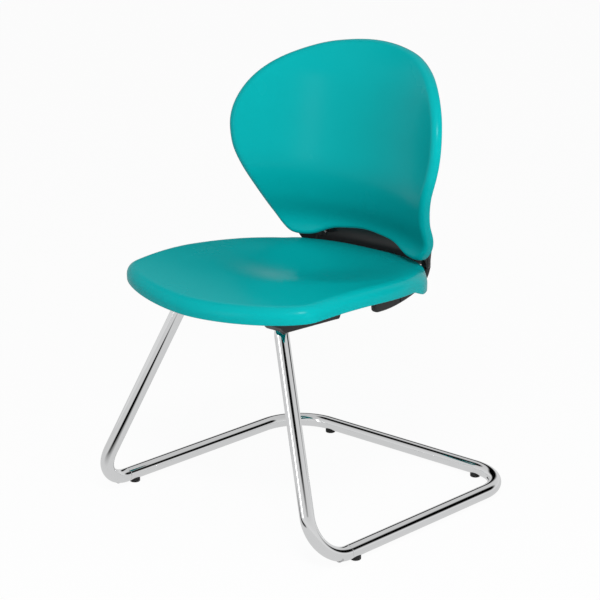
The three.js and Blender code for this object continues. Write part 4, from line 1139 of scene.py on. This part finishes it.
def add_covers_and_saddles():
    rails = bent_rod(leg_line(), TUBE_RADIUS + TOUCH)
    steps = [*cut(rails), *seat_screw_holes("front", "middle")]
    cover = [
        (COVER_FRONT_Y, COVER_NOSE_Z), (COVER_BOTTOM_FRONT_Y, COVER_BOTTOM_FRONT_Z),
        (COVER_BOTTOM_REAR_Y, COVER_BOTTOM_REAR_Z), (COVER_REAR_Y, rail_point(COVER_REAR_Y)[2] - TOUCH / 2),
        (COVER_FRONT_Y, rail_point(COVER_FRONT_Y)[2] - TOUCH / 2),
    ]
    saddle = [
        (SADDLE_FRONT_Y, rail_point(SADDLE_FRONT_Y)[2] + TOUCH / 2),
        (SADDLE_REAR_Y, rail_point(SADDLE_REAR_Y)[2] + TOUCH / 2),
        (SADDLE_REAR_Y, SADDLE_TOP_Z), (SADDLE_FRONT_Y, SADDLE_TOP_Z),
    ]
    for name, outline, outer_x, rounding in (
        ("rail_cover", cover, COVER_OUTER_X, COVER_ROUNDING),
        ("rail_saddle", saddle, COVER_OUTER_X - COVER_ROUNDING, SADDLE_ROUNDING),
    ):
        mesh = shaped(name, plate(outline, COVER_INNER_X, outer_x, rounding), steps)
        place_pair(name, mesh, "frame", "black_plastic")


# Brackets and back arms
ARM_SPANS = ((ARM_FRONT_Y, ARM_REAR_Y), (ARM_LOW_Z, SPLIT_Z))
ARM_LOWER_CORNERS = scaled(ARM_LOWER_SHARES, *ARM_SPANS)
ARM_LOWER_EDGE = open_curve(ARM_LOWER_CORNERS)
ARM_UPPER_EDGE = open_curve(scaled(ARM_UPPER_SHARES, *ARM_SPANS))
TENON_Z = [z for y, z in ARM_LOWER_CORNERS if y < ARM_SEAM_Y][-1] + TENON_LIFT
TENON_X = ARM_OUTER_X - ARM_THICKNESS / 2


def tenon(clearance):
    half_thickness = TENON_THICKNESS / 2 + clearance
    half_height = TENON_HEIGHT / 2 + clearance
    return block(
        (TENON_X - half_thickness, ARM_SEAM_Y - TENON_LENGTH - clearance, TENON_Z - half_height),
        (TENON_X + half_thickness, ARM_SEAM_Y + ARM_SEAM_GAP + OVERRUN, TENON_Z + half_height),
    )


def arm_screw_hole():
    y = ARM_SEAM_Y - TENON_LENGTH / 2
    depth = ARM_THICKNESS / 2 + TENON_THICKNESS / 2 + SCREW_CLEARANCE
    start = ARM_INNER_X - TOUCH
    return rod((start, y, TENON_Z), (start + depth, y, TENON_Z), ARM_SCREW_RADIUS + SCREW_CLEARANCE)


def bolt_holes():
    face = ARM_OUTER_X - BOLT_HEAD_THICKNESS
    holes = []
    for y in (ARM_FRONT_Y + BOLT_INSET, ARM_SEAM_Y - BOLT_INSET):
        z = rail_point(y)[2]
        for start, end, radius in (
            (face + BOLT_HEAD_THICKNESS / 2, face - BOLT_DEPTH, BOLT_RADIUS),
            (face - SCREW_CLEARANCE, ARM_OUTER_X + OVERRUN, BOLT_HEAD_RADIUS),
        ):
            holes.append(rod((start, y, z), (end, y, z), radius + SCREW_CLEARANCE))
    return cut(*holes)


def beyond(y, direction):
    """Everything in front of or behind a plane across Y, as a cutter."""
    reach = ARM_REAR_Y - ARM_FRONT_Y
    low, high = (y, ARM_REAR_Y + reach) if direction > 0 else (ARM_FRONT_Y - reach, y)
    return block(
        (BRACKET_INNER_X - OVERRUN, low, ARM_LOW_Z - reach),
        (ARM_OUTER_X + OVERRUN, high, HINGE_Z + reach),
    )


def hinge_rod(start_x, end_x, radius):
    return rod((start_x, HINGE_Y, HINGE_Z), (end_x, HINGE_Y, HINGE_Z), radius)


def add_brackets():
    lower = [p for p in ARM_LOWER_EDGE if p[0] < ARM_SEAM_Y + ARM_THICKNESS * 2]
    rear_y = lower[-1][0]
    outline = [*lower, (rear_y, BRACKET_TOP_Z), (ARM_FRONT_Y, BRACKET_TOP_Z)]
    cheek = plate(outline, ARM_INNER_X, ARM_OUTER_X, ARM_ROUNDING)
    front_y = ARM_FRONT_Y + BRACKET_CLAMP_SETBACK
    low_z = BRACKET_TOP_Z - BRACKET_CLAMP_HEIGHT
    outline = [(front_y, low_z), (rear_y, low_z), (rear_y, BRACKET_TOP_Z), (front_y, BRACKET_TOP_Z)]
    clamp = plate(outline, BRACKET_INNER_X, ARM_OUTER_X - ARM_ROUNDING, BRACKET_ROUNDING)
    ends = [rail_point(y) for y in (ARM_FRONT_Y - TUBE_DIAMETER, rear_y + TUBE_DIAMETER)]
    rail = rod(*ends, TUBE_RADIUS + TOUCH, TUBE_SIDES)
    mesh = shaped("arm_bracket", cheek, [
        *join(clamp), *cut(beyond(ARM_SEAM_Y, 1), rail, tenon(TOUCH), arm_screw_hole()), *bolt_holes(),
        *seat_screw_holes("rear"),
    ])
    place_pair("arm_bracket", mesh, "frame", "black_plastic")


def add_arms():
    lower = [p for p in ARM_LOWER_EDGE if p[0] > ARM_SEAM_Y - ARM_THICKNESS * 2]
    bar = plate([*lower, *ARM_UPPER_EDGE], ARM_INNER_X, ARM_OUTER_X, ARM_ROUNDING)
    neck = block(
        (TONGUE_INNER_X, HINGE_Y - TONGUE_NECK_HALF, HINGE_Z - TONGUE_LENGTH),
        (TONGUE_OUTER_X, HINGE_Y + TONGUE_NECK_HALF, HINGE_Z),
    )
    head = block(
        (TONGUE_INNER_X, HINGE_Y - TONGUE_HEAD_HALF, HINGE_Z - TOUCH),
        (TONGUE_OUTER_X, HINGE_Y + TONGUE_HEAD_HALF, HINGE_Z + TONGUE_HEAD_HEIGHT),
    )
    joint = hinge_rod(ARM_INNER_X - OVERRUN, ARM_OUTER_X + OVERRUN, JOINT_RADIUS + JOINT_GAP / 2)
    eye = hinge_rod(TONGUE_INNER_X, TONGUE_OUTER_X, TONGUE_RADIUS)
    bore = hinge_rod(TONGUE_INNER_X - OVERRUN, TONGUE_OUTER_X + OVERRUN, BUSH_RADIUS + TOUCH)
    mesh = shaped("back_arm", bar, [
        *cut(beyond(ARM_SEAM_Y + ARM_SEAM_GAP, -1), joint), *join(tenon(0), neck, head, eye),
        *cut(bore, arm_screw_hole()),
    ])
    place_pair("back_arm", mesh, "frame", "black_plastic")


# Yoke
def yoke_front(x, z):
    behind_shell = back_surface(x, z)[:, 1] + YOKE_STANDOFF
    behind_seat = seat_rear_edge(x) + YOKE_SEAT_CLEARANCE
    between = behind_seat - behind_shell
    further = behind_shell + (between + np.sqrt(between**2 + YOKE_CREASE_ROUNDING**2)) / 2
    share = smooth_step((z - YOKE_FLARE_BOTTOM_Z) / (YOKE_FLARE_TOP_Z - YOKE_FLARE_BOTTOM_Z))
    return lerp(further, behind_shell, share)


def yoke_face(x, z):
    return yoke_front(np.array([x]), np.array([z]))[0]


def yoke_web():
    half = scaled(YOKE_OUTLINE_SHARES, (0, YOKE_HALF_WIDTH), (YOKE_BOTTOM_Z, YOKE_TOP_Z))
    outline = softened(closed_curve(both_halves(half), YOKE_SIDES), YOKE_SOFTENING)
    outward = outward_of(outline)
    centre = np.array([0, YOKE_CENTRE_Z])

    def ring(inset, share, depth):
        p = (outline - outward * inset - centre) * share + centre
        return np.column_stack([p[:, 0], yoke_front(p[:, 0], p[:, 1]) + depth, p[:, 1]])

    shares = [k / YOKE_RINGS for k in range(1, YOKE_RINGS)]
    rounding = YOKE_EDGE_ROUNDING
    rounds = [
        (rounding * (1 - math.sin(angle)), rounding * (1 - math.cos(angle)))
        for angle in np.radians(np.linspace(0, 90, ROUNDING_STEPS + 1))
    ]
    rings = [
        *[ring(rounding, share, 0) for share in shares],
        *[ring(inset, 1, depth) for inset, depth in rounds],
        *[ring(inset, 1, YOKE_WEB - depth) for inset, depth in reversed(rounds)],
        *[ring(rounding, share, YOKE_WEB) for share in reversed(shares)],
    ]
    pole = np.array([0, yoke_face(0.0, YOKE_CENTRE_Z), YOKE_CENTRE_Z])
    return poled_rings(rings, pole, pole + [0, YOKE_WEB, 0])


def yoke_ear():
    outline = scaled(EAR_OUTLINE_SHARES, (EAR_FRONT_Y, ARM_REAR_Y), (SPLIT_Z, EAR_TOP_Z))
    return plate(open_curve(outline), EAR_INNER_X, ARM_OUTER_X, EAR_ROUNDING)


def below_joint():
    """Cutters that leave the ear's round foot over the arm, and its inner cheek above the seat's rim."""
    low = SPLIT_Z - JOINT_RADIUS
    rear_y = ARM_REAR_Y + OVERRUN
    inner = block((EAR_INNER_X - OVERRUN, EAR_FRONT_Y, low), (SLOT_INNER_X, rear_y, EAR_CHEEK_Z))
    outer = block((SLOT_INNER_X - OVERRUN, EAR_FRONT_Y, low), (ARM_OUTER_X + OVERRUN, rear_y, EAR_CHEEK_Z))
    foot = hinge_rod(SLOT_INNER_X - 2 * OVERRUN, ARM_OUTER_X + 2 * OVERRUN, JOINT_RADIUS - JOINT_GAP / 2)
    return cut(inner, body_of(shaped("below_joint", outer, cut(foot))))


def hinge_rooms():
    """Room for the arm's tongue over the whole tilt, for its washers and for the pin."""
    slope = math.tan(math.radians(TILT_STOP))
    down = JOINT_RADIUS + OVERRUN
    front = HINGE_Y - TONGUE_NECK_HALF - SLOT_CLEARANCE
    rear = HINGE_Y + TONGUE_NECK_HALF + SLOT_CLEARANCE
    neck = [
        (front, HINGE_Z - down), (rear + down * slope, HINGE_Z - down), (rear, HINGE_Z + TOUCH),
        (front, HINGE_Z + TOUCH),
    ]
    head_top = HINGE_Z + TONGUE_HEAD_HEIGHT + STOP_PAD_HEIGHT + 2 * TOUCH
    pin_end = ARM_OUTER_X - PIN_BLIND_WALL
    return [
        capped_rings([[np.array([x, y, z]) for y, z in neck] for x in (SLOT_INNER_X, SLOT_OUTER_X)]),
        block(
            (SLOT_INNER_X, HINGE_Y - STOP_PAD_FRONT - TOUCH, HINGE_Z),
            (SLOT_OUTER_X, HINGE_Y + STOP_PAD_REAR + TOUCH, head_top),
        ),
        hinge_rod(SLOT_INNER_X, SLOT_OUTER_X, TONGUE_RADIUS + SLOT_CLEARANCE),
        hinge_rod(EAR_INNER_X - OVERRUN, pin_end + TOUCH, PIN_RADIUS + TOUCH),
        hinge_rod(EAR_INNER_X * 2 - pin_end, EAR_INNER_X, PIN_HEAD_RADIUS + 2 * TOUCH),
    ]


def back_screw_rooms():
    """Room in the yoke for the shell's bosses and for the screws and their heads."""
    rooms = []
    for x, z in BACK_SCREWS.values():
        face = yoke_face(x, z)
        rear = face + YOKE_WEB - SPOT_FACE_DEPTH
        tip = face + SPOT_FACE_DEPTH - BACK_SCREW_BITE
        for start, end, radius in (
            (back_face(x, z), face + SPOT_FACE_DEPTH + TOUCH, BACK_BOSS_RADIUS + TOUCH),
            (tip, rear + OVERRUN, BACK_SCREW_RADIUS + SCREW_CLEARANCE),
            (rear, rear + YOKE_WEB, BACK_SCREW_HEAD_RADIUS + 2 * TOUCH),
        ):
            rooms.append(rod((x, start, z), (x, end, z), radius))
    return rooms


def mirrored_body(body):
    points, faces = body
    return [p * [-1, 1, 1] for p in points], [tuple(reversed(face)) for face in faces]


def add_yoke():
    ear = body_of(shaped("ear", yoke_ear(), below_joint()))
    steps = join(ear, mirrored_body(ear))
    for room in (*hinge_rooms(), *back_screw_rooms()):
        steps += cut(room, mirrored_body(room))
    mesh = shaped("back_yoke", yoke_web(), steps)
    place("back_yoke_finished", mesh, "back", "black_plastic", ["back_yoke"], sharp_angle=YOKE_SHARP_ANGLE)


# Screws, bolts and pins
def fastener(node, axis, shank, head, thickness, socket_share):
    """A fastener in its node's place: axis points from its tip to its head, and a socket has six sides."""
    low, high = [np.array(corner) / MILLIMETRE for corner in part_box(node)]
    axis = np.array(axis, float)
    length = (high - low) @ np.abs(axis)
    tip = (low + high) / 2 - axis * length / 2
    dome = thickness * HEAD_DOME_SHARE
    chamfer = shank * SHANK_CHAMFER_SHARE
    face = length - thickness
    angles = np.radians(np.linspace(0, HEAD_DOME_DEGREES, ROUNDING_STEPS + 1))
    profile = [
        (0, 0), (shank - chamfer, 0), (shank, chamfer), (shank, face), (head - CHAMFER, face),
        (head, face + CHAMFER), *[(head * math.cos(a), length - dome + dome * math.sin(a)) for a in angles],
    ]
    if socket_share:
        socket = shank * socket_share
        top = profile[-1][1]
        floor = length - thickness / 2 - TOUCH
        profile += [(socket + TOUCH, top), (socket, top - TOUCH, SOCKET_SIDES), (socket, floor, SOCKET_SIDES)]
        profile.append((0, floor))
    else:
        profile.append((0, length))
    return mesh_of(node, *turned(profile, tip, axis))


def add_fasteners():
    for kind, names, body, axis, *sizes in (
        ("seat_screw", ("_front", "_middle", "_rear"), "frame", (0, 0, -1), SEAT_SCREW_RADIUS,
         SEAT_SCREW_HEAD_RADIUS, SEAT_SCREW_HEAD_THICKNESS, SCREW_SOCKET_SHARE),
        ("back_screw", ("_upper", "_lower"), "back", (0, 1, 0), BACK_SCREW_RADIUS,
         BACK_SCREW_HEAD_RADIUS, BACK_SCREW_HEAD_THICKNESS, SCREW_SOCKET_SHARE),
        ("bracket_bolt", ("_front", "_rear"), "frame", (1, 0, 0), BOLT_RADIUS,
         BOLT_HEAD_RADIUS, BOLT_HEAD_THICKNESS, BOLT_SOCKET_SHARE),
        ("arm_screw", ("",), "frame", (-1, 0, 0), ARM_SCREW_RADIUS,
         ARM_SCREW_HEAD_RADIUS, ARM_SCREW_HEAD_THICKNESS, ARM_SOCKET_SHARE),
        ("pivot_pin", ("",), "back", (-1, 0, 0), PIN_RADIUS, PIN_HEAD_RADIUS, PIN_HEAD_THICKNESS, 0),
    ):
        for name in names:
            mesh = fastener(f"{kind}{name}_left", axis, *sizes)
            place_pair(f"{kind}{name}", mesh, body, "fastener_steel")


# Camera
CAMERA_AZIMUTH = 42.31
CAMERA_ELEVATION = 15.58
CAMERA_DISTANCE = 3792.0
CAMERA_TARGET = (0.0, 7.0, 416.0)
FRAME_PIXELS = 600
FOCAL_PIXELS = 2129.0
PRINCIPAL_POINT = (304.6, 273.6)
SENSOR = 36.0


def heading_of(azimuth, elevation):
    """A direction: azimuth 0 points along -Y and 90 along +X."""
    a = math.radians(azimuth)
    e = math.radians(elevation)
    return Vector((math.sin(a) * math.cos(e), -math.cos(a) * math.cos(e), math.sin(e)))


def aim(thing, location, heading):
    """Puts a camera, a lamp or a flag in its place, looking along a heading."""
    thing.location = location
    thing.rotation_mode = "QUATERNION"
    thing.rotation_quaternion = heading.to_track_quat("-Z", "Y")


def add_camera():
    camera = linked("camera", bpy.data.cameras.new("camera"))
    back = heading_of(CAMERA_AZIMUTH, CAMERA_ELEVATION)
    aim(camera, (Vector(CAMERA_TARGET) + back * CAMERA_DISTANCE) * MILLIMETRE, -back)
    camera.data.sensor_width = SENSOR
    camera.data.lens = SENSOR * FOCAL_PIXELS / FRAME_PIXELS
    camera.data.shift_x = (FRAME_PIXELS / 2 - PRINCIPAL_POINT[0]) / FRAME_PIXELS
    camera.data.shift_y = (PRINCIPAL_POINT[1] - FRAME_PIXELS / 2) / FRAME_PIXELS
    bpy.context.scene.camera = camera


# Studio, in metres
FLOOR_REACH = 12.0
FLOOR_LEVEL = 0.72
FLOOR_ROUGHNESS = 0.9
FLOOR_GLOW_SHARE = 0.95
FLOOR_MIRRORED_LEVEL = 0.66
WORLD_SIDE_LEVEL = 0.27
WORLD_TOP_LEVEL = 0.54
WORLD_MIRRORED_STOPS = [(0.0, 0.76), (0.25, 0.70), (0.6, 0.62), (1.0, 0.56)]
CHAIR_CENTRE = Vector((0, 0, 0.55))
NEAR_LEG = Vector((0.19, -0.22, 0.22))
RUNNERS = Vector((0, 0, TUBE_Z * MILLIMETRE))
REAR_BAR = Vector((0, REAR_BAR_Y * MILLIMETRE, TUBE_Z * MILLIMETRE))

# Name, azimuth, elevation and distance from the chair's centre, width, height, power, whether mirrors show it
LAMPS = [
    ("key_lamp", 40, 46, 3.0, 0.8, 0.45, 45, True),
    ("front_lamp", 66, 14, 3.0, 1.6, 1.2, 50, False),
    ("strip_lamp", -16, 9, 3.0, 0.4, 1.5, 6, True),
]

# Name, what it faces, azimuth, elevation and distance from there, half width, half height
FLAGS = [
    ("flag_by_camera", NEAR_LEG, 46, 33, 2.4, 1.15, 0.5),
    ("flag_behind", RUNNERS, 145, 26, 3.0, 1.2, 1.05),
    ("flag_above", REAR_BAR, -78, 51, 3.0, 1.1, 0.8),
    ("flag_beyond", CHAIR_CENTRE, 222, 13, 3.0, 1.6, 0.8),
]
FLAG_DENSITY = 2.2
FLOOR_FLAG_PLACE = Vector((0.02, -0.64, 0.002))
FLOOR_FLAG_HALF_SIZE = (0.22, 0.45)
FLOOR_FLAG_TURN = -140.0


def grey(level):
    return (level, level, level, 1)


def square(name, half, material):
    mesh = bpy.data.meshes.new(name)
    corners = [(-half, -half, 0), (half, -half, 0), (half, half, 0), (-half, half, 0)]
    mesh.from_pydata(corners, [], [(0, 1, 2, 3)])
    mesh.materials.append(material)
    return linked(name, mesh)


def computed(tree, operation, first, second, clamped=False):
    """What a sum with two values comes to."""
    step = tree.nodes.new("ShaderNodeMath")
    step.operation = operation
    step.use_clamp = clamped
    set_inputs(tree, step, {0: first, 1: second})
    return step.outputs[0]


def either(tree, first, *others):
    """1 where any of the values is."""
    for value in others:
        first = computed(tree, "MAXIMUM", first, value)
    return first


def add_floor():
    """A floor that glows white where it is seen directly, and a pale grey in mirrors."""
    material, tree, shader = new_material("floor")
    set_inputs(tree, shader, {
        "Base Color": grey(FLOOR_LEVEL), "Roughness": FLOOR_ROUGHNESS, "Specular IOR Level": 0,
    })
    ray = outputs_of(tree, "LightPath", {})
    colour = mixed(tree, ray["Is Glossy Ray"], grey(1), grey(FLOOR_MIRRORED_LEVEL))
    glow = outputs_of(tree, "Emission", {"Color": colour})["Emission"]
    direct = either(tree, ray["Is Camera Ray"], ray["Is Glossy Ray"], ray["Is Transmission Ray"])
    share = computed(tree, "MULTIPLY", direct, FLOOR_GLOW_SHARE)
    surface = outputs_of(tree, "MixShader", {"Fac": share, 1: shader.outputs["BSDF"], 2: glow})["Shader"]
    set_inputs(tree, tree.nodes["Material Output"], {"Surface": surface})
    floor = square("floor", FLOOR_REACH, material)


def add_world():
    """White behind the object; as a light, stronger above than at the sides; pale grey in mirrors."""
    world = bpy.data.worlds.new("studio")
    bpy.context.scene.world = world
    world.use_nodes = True
    tree = world.node_tree
    where = outputs_of(tree, "TexCoord", {})["Generated"]
    height = outputs_of(tree, "SeparateXYZ", {"Vector": where})["Z"]
    ramp = tree.nodes.new("ShaderNodeValToRGB")
    set_inputs(tree, ramp, {"Fac": height})
    elements = ramp.color_ramp.elements
    elements.remove(elements[-1])
    first, *others = WORLD_MIRRORED_STOPS
    elements[0].position = first[0]
    elements[0].color = grey(first[1])
    for position, level in others:
        elements.new(position).color = grey(level)
    ray = outputs_of(tree, "LightPath", {})
    lit = mixed(tree, height, grey(WORLD_SIDE_LEVEL), grey(WORLD_TOP_LEVEL))
    soft = mixed(tree, ray["Is Glossy Ray"], lit, ramp.outputs["Color"])
    direct = either(tree, ray["Is Camera Ray"], ray["Is Transmission Ray"])
    set_inputs(tree, tree.nodes["Background"], {"Color": mixed(tree, direct, soft, grey(1))})


def add_lamps():
    for name, azimuth, elevation, distance, width, height, power, mirrored in LAMPS:
        light = bpy.data.lights.new(name, "AREA")
        light.shape = "RECTANGLE"
        light.size = width
        light.size_y = height
        light.energy = power
        lamp = linked(name, light)
        location = CHAIR_CENTRE + heading_of(azimuth, elevation) * distance
        aim(lamp, location, CHAIR_CENTRE - location)
        lamp.visible_camera = False
        lamp.visible_glossy = mirrored


def flag_material():
    """Black cloth that thins out towards its edges."""
    material, tree, shader = new_material("flag")
    fade = tree.nodes.new("ShaderNodeTexGradient")
    fade.gradient_type = "SPHERICAL"
    set_inputs(tree, fade, {"Vector": outputs_of(tree, "TexCoord", {})["Object"]})
    set_inputs(tree, shader, {
        "Base Color": grey(0), "Roughness": 1, "Specular IOR Level": 0,
        "Alpha": computed(tree, "MULTIPLY", fade.outputs["Fac"], FLAG_DENSITY, clamped=True),
    })
    return material


def add_flag(name, material, location, half_width, half_height):
    """A black flag that only shows in mirrors, and lies flat until it is turned."""
    flag = square(name, 1, material)
    flag.location = location
    flag.scale = (half_width, half_height, 1)
    flag.visible_camera = False
    flag.visible_diffuse = False
    flag.visible_transmission = False
    flag.visible_shadow = False
    return flag


def add_flags():
    material = flag_material()
    for name, origin, azimuth, elevation, distance, *half_size in FLAGS:
        location = origin + heading_of(azimuth, elevation) * distance
        flag = add_flag(name, material, location, *half_size)
        aim(flag, location, origin - location)
    flag = add_flag("flag_on_floor", material, FLOOR_FLAG_PLACE, *FLOOR_FLAG_HALF_SIZE)
    flag.rotation_euler = (0, 0, math.radians(FLOOR_FLAG_TURN))


add_seat()
add_back()
add_base()
add_cross_bars()
add_glides()
add_rail_plugs()
add_covers_and_saddles()
add_brackets()
add_arms()
add_yoke()
add_fasteners()
add_camera()
add_floor()
add_world()
add_flags()
add_lamps()
bpy.context.scene.view_settings.view_transform = "Standard"
